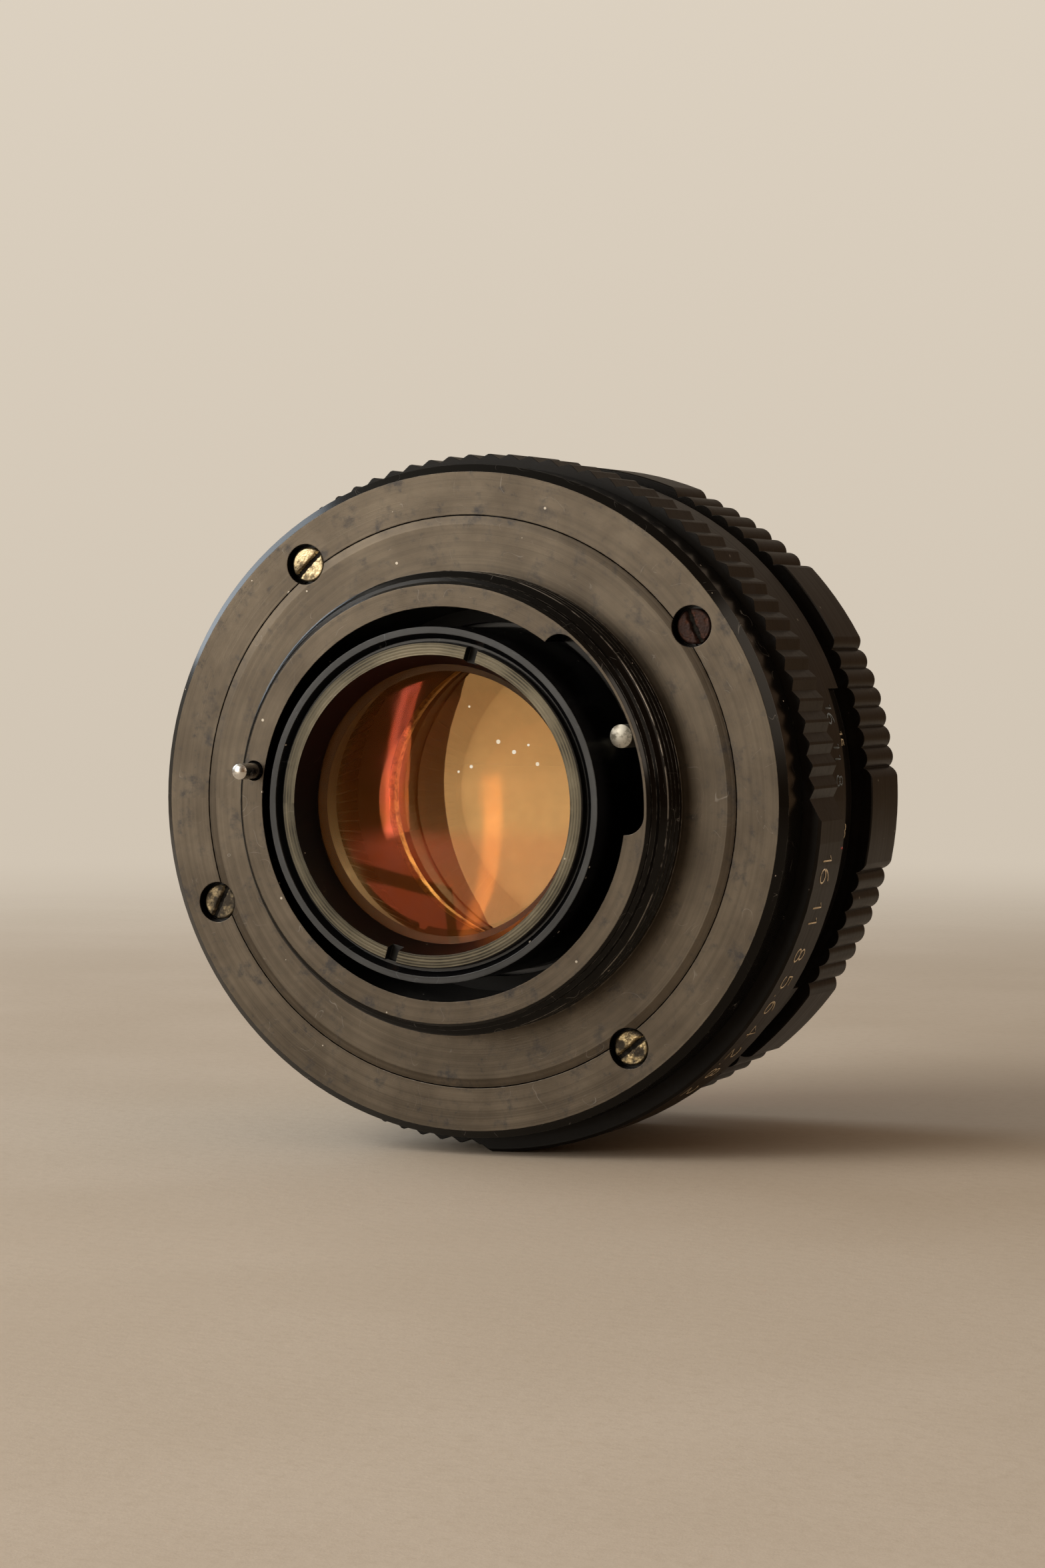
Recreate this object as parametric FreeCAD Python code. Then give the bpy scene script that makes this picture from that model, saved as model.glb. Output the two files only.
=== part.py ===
import FreeCAD, Part
import math
import os

# A 50 mm f/1.8 screw-mount prime lens, lying on its side.
# Frame: the optical axis is Y, the camera side is -Y and the front glass is +Y, Z is up.
# The origin is the centre of the flange face that seats on the camera.
# Polar angles are measured from +X towards +Z, counter-clockwise seen from the rear.
# All lengths are in millimetres and all angles in degrees.

V = FreeCAD.Vector
ORIGIN = V(0, 0, 0)
AXIS = V(0, 1, 0)
PHI_AXIS = V(0, -1, 0)

# ---- driving dimensions: camera mount ----
THREAD_R = 21.0
THREAD_PITCH = 1.0
THREAD_DEPTH = 0.6
THREAD_REAR_Y = -3.56
THREAD_TURNS = 3
PILOT_R = 19.76
REAR_Y = -5.66
BORE_R = 17.76
TUBE_R = 20.4
TUBE_FRONT_Y = 8.1
DISC_R = 26.05
DISC_T = 2.9
DISC_RISE = 0.15
SEAT_R = 25.3

# ---- driving dimensions: outer rings ----
SEAM = 0.1
COVER_R = 30.75
COVER_CHAMFER = 0.7
COVER_FRONT_Y = 4.7
WEB_R = 24.5
RUN = 0.05
SKIN = 0.01
APERTURE_R = 32.48
APERTURE_Y = (4.75, 11.6)
APERTURE_BORE_R = 28.25
APERTURE_TEETH = 100
APERTURE_TIP_R = 31.85
APERTURE_ROOT_R = 31.4
APERTURE_ROOT_PHI = 1.0
APERTURE_LAND = (-88.9, -2.5)
DEPTH_RING_R = 30.85
DEPTH_RING_Y = (11.7, 20.1)
DEPTH_WINDOW_Y = 17.1
DEPTH_WINDOW_PHI = (-35.0, 19.5)
BARREL_SEAT_R = 29.6
GRIP_R = 31.5
GRIP_Y = (23.2, 31.4)
GRIP_LANDS = 9
GRIP_FLUTES = 7
GRIP_FLUTE_PITCH = 3.6
GRIP_RIB_R = 31.2
GRIP_ROOT_R = 30.75
GRIP_FIRST_LAND = -4.0
GRIP_CHAMFER = 0.12
FOCUS_FRONT_Y = 32.8
FRONT_R = 25.9
FRONT_Y = 41.8
FILTER_R = 24.1
FILTER_PITCH = 0.75
FILTER_TURNS = 6
TRIM_SEAT_R = 23.6

# ---- driving dimensions: fixed barrel inside ----
WEB_Y = (8.5, 9.7)
COLLAR_Y = (18.3, 20.3)
COLLAR_BORE_R = 27.4
BARREL_FRONT_Y = 22.6
HELICOID_R = 25.5
HELICOID_FLANGE_Y = (22.9, 25.8)
KEY_R = (20.7, 21.7)
KEY_Y = (7.2, 21.0)
KEY_HALF_WIDTH = 2.4
KEY_PHI = (90.0, 270.0)
KEY_SCREW_R = 23.4

# ---- driving dimensions: click stop ----
APERTURE_CLICKS = 7
APERTURE_TURN = 44.0
CLICK_STEP = APERTURE_TURN / (APERTURE_CLICKS - 1)
BALL_PHI = 110.0
BALL_Y = 7.2
BALL_R = 0.75
BALL_CENTRE_R = 27.45
ARM_PHI = 230.0
ARM_Y = (5.3, 6.1)
ARM_FOOT_R = 30.4
ARM_FOOT_HALF = 3.0

# ---- driving dimensions: moving block ----
CELL_R = 15.95
BLOCK_BORE_R = 17.8
BLOCK_R = 21.95
BLOCK_Y = (9.0, 29.8)
RETAINER_R = 14.6
REAR_ELEMENT_R = 13.6
REAR_PAIR_R = 12.0
REAR_PAIR_SEAT_Y = 1.27
HOLLOW_R = 9.8
FRONT_PAIR_R = 14.2
FRONT_PAIR_SEAT_Y = 24.3
FRONT_ELEMENT_R = 16.8
FRONT_MOUTH_R = 17.3

# ---- driving dimensions: iris and its linkage ----
IRIS_OPEN_R = 9.7
BLADES = 6
BLADE_T = 0.10
BLADE_STEP = 0.16
BLADE_Y = 11.96
BLADE_SWING = 35.0
PIVOT_R = 14.2
IRIS_PIN_R = 0.35
LEVER_SWING = 19.4
LEVER_PIN_ARM = 6.5
LEVER_RING_ARM = 3.605
LEVER_PLANE_R = 19.1
LEVER_Y = 3.945
BRACKET_WALL_R = (19.75, 20.6)
RIVET_R = 0.6
PIN_PHI = 20.0
PIN_R = 18.35
STOP_PIN_R = 1.05
LEVER_PHI = PIN_PHI + math.degrees(math.atan(LEVER_PIN_ARM / LEVER_PLANE_R))
LEVER_HALF = math.radians(LEVER_SWING / 2)
RING_HALF = math.degrees(math.asin(LEVER_RING_ARM * math.sin(LEVER_HALF) / LEVER_PLANE_R))
LEVER_BAY = (8.0, 56.0)
LEVER_BAY_Y = 1.2
ROD_PHI = 150.0
ROD_R = 19.3
ROD_BAY = (142.0, 158.0)
RING_SHOULDER_Y = 7.0
RING_GUIDE_R = 18.45
RING_Y = (7.1, 8.0)
IRIS_RING_Y = (11.15, 11.9)
POST_PHI = 122.0
POST_R = 22.2
POST_GROOVE_Y = 7.3

# ---- driving dimensions: sensing pin ----
SENSOR_R = 18.80
SENSOR_PHI = 171.4
SENSOR_HOLE_R = 0.93
SENSOR_GUIDE_R = 0.76
SENSOR_PIN_R = 0.725
SENSOR_STEP_Y = (-3.9, -1.7)
SENSOR_TIP_Y = -8.98

# ---- driving dimensions: fasteners ----
MOUNT_SCREW_CIRCLE = 27.05
MOUNT_SCREW_PHI = (126.5, 36.2, -54.0, -158.9)
MOUNT_SLOT_TILT = (45.0, -67.0, 38.0, 65.0)
MOUNT_HEAD_R = 1.58
MOUNT_RECESS_R = 1.88
MOUNT_RECESS_DEPTH = 1.45
MOUNT_SHANK_R = 0.8
SHANK_R = 0.6
SET_SCREW_PHI = (60.0, 180.0, 300.0)
SET_SCREW_Y = 13.6
SET_SCREW_R = 0.8
STOP_SCREW_PHI = (105.0, 215.0, 300.0)
STOP_SCREW_R = 19.45
BRACKET_SCREW_R = 22.6
FOCUS_SCREW_R = 26.5
FOCUS_SCREW_PHI = (20.0, 140.0, 260.0)
BLOCK_SCREW_R = 19.9
BLOCK_SCREW_PHI = (30.0, 210.0, 330.0)
REAR_SLOT_PHI = (73.7, 254.4)


# ---- helpers ----
def polar(r, phi, y=0.0):
    """A point from its radius, polar angle and place along the axis."""
    a = math.radians(phi)
    return V(r * math.cos(a), y, r * math.sin(a))


def turned(points):
    """A solid of revolution about the optical axis from (radius, y) points."""
    loop = [V(r, y, 0) for r, y in points]
    face = Part.Face(Part.makePolygon(loop + [loop[0]]))
    return face.revolve(ORIGIN, AXIS, 360)


def ring(r_in, r_out, y0, y1):
    """A plain ring."""
    return turned([(r_in, y0), (r_out, y0), (r_out, y1), (r_in, y1)])


def sector(r_in, r_out, y0, y1, phi0, phi1):
    """A piece of a ring between two polar angles."""
    loop = [V(r_in, y0, 0), V(r_out, y0, 0), V(r_out, y1, 0), V(r_in, y1, 0)]
    face = Part.Face(Part.makePolygon(loop + [loop[0]]))
    face.rotate(ORIGIN, PHI_AXIS, phi0)
    return face.revolve(ORIGIN, PHI_AXIS, phi1 - phi0)


def axial(radius, r, phi, y0, y1):
    """A round bar parallel to the axis."""
    return Part.makeCylinder(radius, y1 - y0, polar(r, phi, y0), AXIS)


def radial(radius, phi, y, r0, r1):
    """A round bar along a radius."""
    return Part.makeCylinder(radius, r1 - r0, polar(r0, phi, y), polar(1, phi))


def block(r0, r1, half_width, y0, y1, phi, shift=0.0):
    """A box whose length is radial, turned to a polar angle."""
    box = Part.makeBox(r1 - r0, y1 - y0, 2 * half_width, V(r0, y0, shift - half_width))
    box.rotate(ORIGIN, PHI_AXIS, phi)
    return box


def cut_all(shape, tools):
    """One shape less a list of others."""
    for tool in tools:
        shape = shape.cut(tool)
    return shape


def fuse_all(shapes):
    """A list of shapes joined into one solid."""
    joined = shapes[0].fuse(shapes[1:])
    return joined.removeSplitter()


def slot_tool(width, depth, head_r, point, direction, tilt):
    """The cutter of a screwdriver slot: a bar across a head, turned in its plane."""
    bar = Part.makeBox(2.4 * head_r, width, depth, V(-1.2 * head_r, -width / 2, -depth))
    bar.rotate(ORIGIN, V(0, 0, 1), tilt)
    bar.Placement = FreeCAD.Placement(point, FreeCAD.Rotation(V(0, 0, 1), direction)).multiply(bar.Placement)
    return bar


def slotted_screw(point, direction, head_r, head_h, shank_r, shank_l, tilt, slot_w):
    """A slotted cheese-head screw: point is the centre of its top, direction leaves it."""
    inward = direction * -1
    head = Part.makeCylinder(head_r, head_h, point, inward)
    edge = 0.12
    head = head.makeChamfer(edge, [max(head.Edges, key=lambda e: (e.CenterOfMass - point).dot(direction))])
    shank = Part.makeCylinder(shank_r, shank_l, point + inward * head_h, inward)
    slot = slot_tool(slot_w, 0.45 * head_h, head_r, point, direction, tilt)
    return head.fuse(shank).cut(slot)


def coil(radius, wire, turns, start, direction, length):
    """A helical spring of round wire, from start along direction."""
    pitch = length / turns
    helix = Part.makeHelix(pitch, length, radius)
    section = Part.Wire([Part.makeCircle(wire, V(radius, 0, 0), V(0, radius, pitch / (2 * math.pi)))])
    spring = Part.Wire(helix.Edges).makePipeShell([section], True, True)
    spring.Placement = FreeCAD.Placement(start, FreeCAD.Rotation(V(0, 0, 1), direction))
    return spring


def sag(radius, r):
    """How far a spherical surface has moved along +Y at a radius, by its signed curvature."""
    return radius - math.copysign(math.sqrt(radius * radius - r * r), radius)


def glass(rear, front, edge_r):
    """A lens element. Each side is (vertex y, signed radius of curvature, clear radius)."""
    edges = []
    ends = []
    for vertex, radius, clear in (rear, front):
        top = V(clear, vertex + sag(radius, clear), 0)
        mid = V(clear / 2, vertex + sag(radius, clear / 2), 0)
        edges.append(Part.Arc(V(0, vertex, 0), mid, top).toShape())
        ends.append(top)
    corners = [V(edge_r, ends[0].y, 0), V(edge_r, ends[1].y, 0)]
    for a, b in ((ends[0], corners[0]), (corners[0], corners[1]), (corners[1], ends[1])):
        if a.distanceToPoint(b) > 1e-6:
            edges.append(Part.makeLine(a, b))
    edges.append(Part.makeLine(V(0, rear[0], 0), V(0, front[0], 0)))
    face = Part.Face(Part.Wire(Part.__sortEdges__(edges)))
    return face.revolve(ORIGIN, AXIS, 360)


def toothed(outline, y0, y1):
    """A solid disc whose edge follows (radius, polar angle) points."""
    loop = [polar(r, phi, y0) for r, phi in outline]
    return Part.Face(Part.makePolygon(loop + [loop[0]])).extrude(AXIS * (y1 - y0))


def reeded(arcs, y0, y1):
    """A solid disc whose edge is a chain of arcs, each through three (radius, polar angle) points."""
    edges = [Part.Arc(*[polar(r, phi, y0) for r, phi in points]).toShape() for points in arcs]
    return Part.Face(Part.Wire(edges)).extrude(AXIS * (y1 - y0))


# ---- camera mount ----
def mount_counterbores():
    """The four round recesses for the mount screws' heads."""
    floor_y = DISC_RISE + MOUNT_RECESS_DEPTH
    return [axial(MOUNT_RECESS_R, MOUNT_SCREW_CIRCLE, phi, -1.0, floor_y) for phi in MOUNT_SCREW_PHI]


def pin_pocket():
    """The kidney-shaped pocket that the stop-down pin stands in."""
    mill = 1.75
    ends = (-2.25, 49.65)
    floor_y = -0.9
    tools = [sector(14.0, BORE_R + mill, REAR_Y - 1, floor_y, ends[0], ends[1])]
    for phi in ends:
        tools.append(axial(mill, BORE_R, phi, REAR_Y - 1, floor_y))
    return tools


def mount_plate():
    """Flange disc, threaded mount and the tube that carries the stop-down ring."""
    pilot_side_r = 20.0
    neck_y = (-4.75, -4.0)
    lead_in = 0.15
    profile = [(BORE_R, REAR_Y), (PILOT_R, REAR_Y), (pilot_side_r, REAR_Y + 0.35), (pilot_side_r, -4.95)]
    profile += [(TUBE_R, neck_y[0]), (TUBE_R, neck_y[1]), (THREAD_R - lead_in, THREAD_REAR_Y - lead_in)]
    crest = THREAD_PITCH / 4
    root = THREAD_PITCH / 8
    flank = (THREAD_PITCH - crest - root) / 2
    root_r = THREAD_R - THREAD_DEPTH
    y = THREAD_REAR_Y
    for _ in range(THREAD_TURNS):
        profile += [(THREAD_R, y), (THREAD_R, y + crest)]
        profile += [(root_r, y + crest + flank), (root_r, y + crest + flank + root)]
        y += THREAD_PITCH
    profile += [(THREAD_R, y), (THREAD_R, 0.0)]
    profile += [(SEAT_R, 0.0), (DISC_R, DISC_RISE), (DISC_R, DISC_T), (TUBE_R, DISC_T)]
    profile += [(TUBE_R, TUBE_FRONT_Y), (RING_GUIDE_R, TUBE_FRONT_Y)]
    profile += [(RING_GUIDE_R, RING_SHOULDER_Y), (BORE_R, RING_SHOULDER_Y)]
    body = turned(profile)
    tools = mount_counterbores() + pin_pocket()
    tools.append(axial(STOP_PIN_R + 0.04, PIN_R, PIN_PHI, -3.0, 3.0))
    tools.append(sector(17.0, 21.3, LEVER_BAY_Y, 9.0, *LEVER_BAY))
    tools.append(sector(18.0, 21.0, RING_SHOULDER_Y, 9.0, *ROD_BAY))
    tools.append(axial(SENSOR_HOLE_R, SENSOR_R, SENSOR_PHI, REAR_Y - 1, SENSOR_STEP_Y[0]))
    tools.append(axial(SENSOR_GUIDE_R, SENSOR_R, SENSOR_PHI, -5.0, 0.0))
    tools.append(axial(SENSOR_HOLE_R, SENSOR_R, SENSOR_PHI, SENSOR_STEP_Y[1], RING_SHOULDER_Y + 0.5))
    for phi in STOP_SCREW_PHI:
        tools.append(axial(SHANK_R, STOP_SCREW_R, phi, 4.0, 9.0))
    tools.append(axial(SHANK_R, BRACKET_SCREW_R, LEVER_PHI, 0.9, 4.0))
    tools.append(axial(SHANK_R, POST_R, POST_PHI, 1.2, 4.0))
    return cut_all(body, tools)


def rear_cover_ring():
    """Outer ring of the rear face: it holds the mount disc and traps the aperture ring."""
    inner = DISC_R + SEAM
    profile = [(inner, DISC_RISE), (COVER_R - COVER_CHAMFER, DISC_RISE), (COVER_R, DISC_RISE + COVER_CHAMFER)]
    profile += [(COVER_R, COVER_FRONT_Y), (WEB_R, COVER_FRONT_Y), (WEB_R, DISC_T), (inner, DISC_T)]
    body = turned(profile)
    tools = mount_counterbores()
    for phi in MOUNT_SCREW_PHI:
        tools.append(axial(MOUNT_SHANK_R, MOUNT_SCREW_CIRCLE, phi, 0.0, 6.0))
    return cut_all(body, tools)


def mount_screws():
    """Four slotted brass screws through the cover ring into the main barrel."""
    top_y = DISC_RISE + 0.55
    head_h, shank_l, slot_w = 0.9, 6.2, 0.5
    screws = []
    for phi, tilt in zip(MOUNT_SCREW_PHI, MOUNT_SLOT_TILT):
        top = polar(MOUNT_SCREW_CIRCLE, phi, top_y)
        screws.append(slotted_screw(top, V(0, -1, 0), MOUNT_HEAD_R, head_h, MOUNT_SHANK_R, shank_l, tilt, slot_w))
    return Part.makeCompound(screws)


# ---- fixed barrel ----
def main_barrel():
    """Fixed barrel: bearing of the aperture ring, seat of the depth ring, guide of the helicoid."""
    run_r = APERTURE_BORE_R - RUN
    stop_y = APERTURE_Y[1] + RUN
    neck_r = 28.6
    neck_y = DEPTH_WINDOW_Y - SEAM
    profile = [(WEB_R, COVER_FRONT_Y), (run_r, COVER_FRONT_Y), (run_r, stop_y), (BARREL_SEAT_R, stop_y)]
    profile += [(BARREL_SEAT_R, neck_y), (neck_r, neck_y), (neck_r, BARREL_FRONT_Y)]
    profile += [(COLLAR_BORE_R, BARREL_FRONT_Y), (COLLAR_BORE_R, COLLAR_Y[0])]
    profile += [(HELICOID_R + RUN, COLLAR_Y[0]), (HELICOID_R + RUN, WEB_Y[1])]
    profile += [(BLOCK_R + 0.25, WEB_Y[1]), (BLOCK_R + 0.25, WEB_Y[0]), (WEB_R, WEB_Y[0])]
    body = turned(profile)
    tools = []
    for phi in MOUNT_SCREW_PHI:
        tools.append(axial(MOUNT_SHANK_R, MOUNT_SCREW_CIRCLE, phi, 4.0, 7.95))
    tools.append(radial(BALL_R + 0.05, BALL_PHI, BALL_Y, 25.0, 29.0))
    play, stop = 0.15, 4.0
    window = (ARM_PHI - stop, ARM_PHI + APERTURE_TURN + stop + 1.0)
    tools.append(sector(24.0, 28.5, ARM_Y[0] - play, ARM_Y[1] + play, *window))
    for phi in SET_SCREW_PHI:
        tools.append(radial(SET_SCREW_R, phi, SET_SCREW_Y, 28.4, 31.0))
    for phi in KEY_PHI:
        tools.append(axial(SHANK_R, KEY_SCREW_R, phi, WEB_Y[0] - 1, WEB_Y[1] + 1))
    return cut_all(body, tools)


def depth_scale_ring():
    """Fixed ring with the depth-of-field scale; a window in its front edge shows the distances."""
    body = ring(BARREL_SEAT_R, DEPTH_RING_R, *DEPTH_RING_Y)
    tools = [sector(29.0, 32.0, DEPTH_WINDOW_Y, DEPTH_RING_Y[1] + 1, *DEPTH_WINDOW_PHI)]
    for phi in SET_SCREW_PHI:
        tools.append(radial(SET_SCREW_R, phi, SET_SCREW_Y, 28.0, 32.0))
    return cut_all(body, tools)


def depth_ring_set_screws():
    """Three slotted grub screws that hold the depth ring on the barrel."""
    screws = []
    for phi in SET_SCREW_PHI:
        outward = polar(1, phi)
        top = polar(DEPTH_RING_R - 0.15, phi, SET_SCREW_Y)
        body = Part.makeCylinder(SET_SCREW_R, 2.3, top, outward * -1)
        screws.append(body.cut(slot_tool(0.3, 0.4, SET_SCREW_R, top, outward, 20.0)))
    return Part.makeCompound(screws)


def guide_keys():
    """Two straight keys that stop the lens block from turning."""
    keys = []
    for phi in KEY_PHI:
        foot = block(KEY_R[0], 24.3, KEY_HALF_WIDTH, KEY_Y[0], WEB_Y[0], phi)
        finger = block(KEY_R[0], KEY_R[1], KEY_HALF_WIDTH, KEY_Y[0], KEY_Y[1], phi)
        key = fuse_all([foot, finger])
        keys.append(key.cut(axial(SHANK_R, KEY_SCREW_R, phi, 6.0, 10.0)))
    return Part.makeCompound(keys)


def guide_key_screws():
    """One screw through the foot of each key."""
    head_r, head_h, shank_l, slot_w = 1.0, 0.8, 2.4, 0.35
    screws = []
    for phi in KEY_PHI:
        top = polar(KEY_SCREW_R, phi, KEY_Y[0] - head_h)
        screws.append(slotted_screw(top, V(0, -1, 0), head_r, head_h, SHANK_R, shank_l, 0.0, slot_w))
    return Part.makeCompound(screws)


def helicoid_retaining_ring():
    """Slotted ring screwed into the barrel's mouth in front of the helicoid's collar."""
    body = ring(HELICOID_R + 0.1, COLLAR_BORE_R, COLLAR_Y[1], 22.3)
    return cut_all(body, [block(25.0, 28.0, 0.6, 21.5, 23.0, phi) for phi in (0.0, 180.0)])


def click_spring():
    """Spring under the click-stop ball."""
    coil_r, wire_r, turns, length = 0.5, 0.12, 4, 1.4
    return coil(coil_r, wire_r, turns, polar(25.15, BALL_PHI, BALL_Y), polar(1, BALL_PHI), length)


def click_ball():
    """Steel ball that clicks into the aperture ring's notches."""
    return Part.makeSphere(BALL_R, polar(BALL_CENTRE_R, BALL_PHI, BALL_Y))


# ---- aperture ring ----
def aperture_outline():
    """V-shaped teeth all round, but for a smooth land that carries the numerals."""
    pitch = 360.0 / APERTURE_TEETH
    crest = 0.22
    land = APERTURE_LAND
    points = []
    phi = APERTURE_ROOT_PHI
    while phi < land[0] + 360 - 0.4 * pitch:
        points.append((APERTURE_ROOT_R, phi))
        points.append((APERTURE_TIP_R, phi + pitch / 2 - crest))
        points.append((APERTURE_TIP_R, phi + pitch / 2 + crest))
        phi += pitch
    steps = 24
    for i in range(steps + 1):
        points.append((APERTURE_R, 360 + land[0] + i * (land[1] - land[0]) / steps))
    return points


def aperture_ring():
    """Aperture ring with its knurl, numeral land and click notches."""
    y0, y1 = APERTURE_Y
    edge = 0.25
    skin_r = APERTURE_R + SKIN
    profile = [(APERTURE_BORE_R, y0), (skin_r - edge, y0), (skin_r, y0 + edge)]
    profile += [(skin_r, y1 - edge), (skin_r - edge, y1), (APERTURE_BORE_R, y1)]
    body = toothed(aperture_outline(), y0 - 1, y1 + 1).common(turned(profile))
    tools = []
    notch_r, notch_circle = BALL_R + 0.05, BALL_CENTRE_R + 0.4
    for i in range(APERTURE_CLICKS):
        tools.append(axial(notch_r, notch_circle, BALL_PHI - i * CLICK_STEP, y0 - 1, y1 + 1))
    half = ARM_FOOT_HALF
    tools.append(sector(28.0, ARM_FOOT_R, ARM_Y[0], ARM_Y[1], ARM_PHI - half, ARM_PHI + half))
    return cut_all(body, tools)


def aperture_coupling_arm():
    """Flat tongue let into the aperture ring, reaching in towards the stop-down ring."""
    foot_half, tongue_half = ARM_FOOT_HALF, 2.0
    reach_r = 21.2
    y0, y1 = ARM_Y
    foot = sector(APERTURE_BORE_R, ARM_FOOT_R, y0, y1, ARM_PHI - foot_half, ARM_PHI + foot_half)
    tongue = sector(reach_r, APERTURE_BORE_R + 0.5, y0, y1, ARM_PHI - tongue_half, ARM_PHI + tongue_half)
    return fuse_all([foot, tongue])


# ---- stop-down pin, lever and ring ----


def stop_down_pin():
    """The pin that the camera pushes, with a collar and a tongue that bears on the lever."""
    tip_y = REAR_Y + 0.06
    dome = 0.22
    body = axial(STOP_PIN_R, PIN_R, PIN_PHI, tip_y + dome, 1.6)
    crown = axial(STOP_PIN_R, PIN_R, PIN_PHI, tip_y, tip_y + dome)
    ball_r = (STOP_PIN_R ** 2 + dome ** 2) / (2 * dome)
    crown = crown.common(Part.makeSphere(ball_r, polar(PIN_R, PIN_PHI, tip_y + ball_r)))
    collar_r, collar_y = 1.45, (1.3, 2.2)
    tongue_r, tongue_half = 20.5, 0.85
    collar = axial(collar_r, PIN_R, PIN_PHI, *collar_y)
    tongue = block(PIN_R, tongue_r, tongue_half, collar_y[0], collar_y[1], PIN_PHI)
    return fuse_all([body, crown, collar, tongue])


def lever():
    """Bell crank in a plane square to a radius: one arm on the pin, one in the ring's fork."""
    plate_t = 0.8
    half = LEVER_HALF
    pin_tip = (-LEVER_PIN_ARM * math.cos(half), -LEVER_PIN_ARM * math.sin(half))
    ring_tip = (-LEVER_RING_ARM * math.sin(half), LEVER_RING_ARM * math.cos(half))
    r0 = LEVER_PLANE_R - plate_t / 2

    def disc(t, y, radius):
        return Part.makeCylinder(radius, plate_t, V(r0, LEVER_Y + y, t), V(1, 0, 0))

    def arm(t, y, w0, w1):
        length = math.hypot(t, y)
        u = (t / length, y / length)
        corners = [(-u[1] * w0, u[0] * w0), (u[1] * w0, -u[0] * w0)]
        corners += [(t + u[1] * w1, y - u[0] * w1), (t - u[1] * w1, y + u[0] * w1)]
        loop = [V(r0, LEVER_Y + b, a) for a, b in corners]
        return Part.Face(Part.makePolygon(loop + [loop[0]])).extrude(V(plate_t, 0, 0))

    hub_r, pin_tip_r, ring_tip_r, bore_r = 1.25, 0.6, 0.45, 0.6
    parts = [disc(0, 0, hub_r), disc(*pin_tip, pin_tip_r), disc(*ring_tip, ring_tip_r)]
    parts.append(arm(*pin_tip, 0.8, 0.38))
    parts.append(arm(*ring_tip, 0.6, 0.28))
    body = fuse_all(parts).cut(Part.makeCylinder(bore_r, 4, V(r0 - 1, LEVER_Y, 0), V(1, 0, 0)))
    body.rotate(ORIGIN, PHI_AXIS, LEVER_PHI)
    return body


def lever_bracket():
    """Angle bracket on the mount disc that carries the lever's pivot."""
    half_width, foot_r, foot_t, top_y = 1.8, 24.2, 0.8, 6.2
    r0, r1 = BRACKET_WALL_R
    foot = block(r0, foot_r, half_width, DISC_T, DISC_T + foot_t, LEVER_PHI)
    upright = block(r0, r1, half_width, DISC_T, top_y, LEVER_PHI)
    body = fuse_all([foot, upright])
    body = body.cut(radial(RIVET_R, LEVER_PHI, LEVER_Y, 19.0, 21.5))
    return body.cut(axial(SHANK_R, BRACKET_SCREW_R, LEVER_PHI, 0.0, 5.0))


def lever_pivot():
    """Shouldered pivot pin of the lever, riveted in the bracket."""
    shaft_r, head_r = 0.55, 1.1
    head_at = (18.2, 18.62)
    r0, r1 = BRACKET_WALL_R
    shaft = radial(shaft_r, LEVER_PHI, LEVER_Y, head_at[0], r0 + SKIN)
    head = radial(head_r, LEVER_PHI, LEVER_Y, *head_at)
    rivet = radial(RIVET_R, LEVER_PHI, LEVER_Y, r0, r1)
    return fuse_all([shaft, head, rivet])


def bracket_screw():
    """Screw of the lever bracket."""
    head_r, head_h, shank_l, slot_w = 1.1, 0.8, 2.4, 0.35
    top = polar(BRACKET_SCREW_R, LEVER_PHI, DISC_T + 0.8 + head_h)
    return slotted_screw(top, V(0, 1, 0), head_r, head_h, SHANK_R, shank_l, 30.0, slot_w)


def stop_down_ring():
    """Ring that the lever turns, with a fork for the lever and a rod along the lens."""
    rest = -RING_HALF
    inner_r, tab_half, slot_half, rod_r, eye_r = 16.4, 1.3, 0.5, 0.7, 0.3
    rod_end_y = 20.0
    y0, y1 = RING_Y
    body = ring(inner_r, RING_GUIDE_R - RUN, y0, y1)
    fork = block(18.0, 20.1, tab_half, y0, y1, LEVER_PHI + rest)
    fork_slot = block(18.55, 21.0, slot_half, y0 - 1, y1 + 1, LEVER_PHI + rest)
    tab = block(18.0, 23.2, tab_half, y0, y1, ROD_PHI + rest)
    rod = axial(rod_r, ROD_R, ROD_PHI + rest, y0, rod_end_y)
    eye = axial(eye_r, POST_R, ROD_PHI + rest, y0 - 1, y1 + 1)
    return cut_all(fuse_all([body, fork, tab, rod]), [fork_slot, eye])


def stop_ring_screws():
    """Three screws whose heads overlap the ring's rim and keep it on its shoulder."""
    head_r, head_h, shank_l, slot_w = 1.3, 0.65, 3.6, 0.35
    screws = []
    for phi in STOP_SCREW_PHI:
        top = polar(STOP_SCREW_R, phi, TUBE_FRONT_Y + head_h)
        screws.append(slotted_screw(top, V(0, 1, 0), head_r, head_h, SHANK_R, shank_l, 15.0, slot_w))
    return Part.makeCompound(screws)


def spring_post():
    """Post that anchors the return spring."""
    stem = axial(SHANK_R, POST_R, POST_PHI, 1.2, 7.9)
    groove = ring(0.42, 1.0, 0, 0.3)
    groove.translate(polar(POST_R, POST_PHI, POST_GROOVE_Y))
    return stem.cut(groove)


def return_spring():
    """Close-wound spring that pulls the stop-down ring back to open."""
    coil_r, wire_r, turns = 0.62, 0.13, 20
    y = POST_GROOVE_Y + 0.15
    start = polar(POST_R, POST_PHI + 2.2, y)
    end = polar(POST_R, ROD_PHI - RING_HALF - 4.0, y)
    direction = end - start
    return coil(coil_r, wire_r, turns, start, direction, direction.Length)


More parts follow.
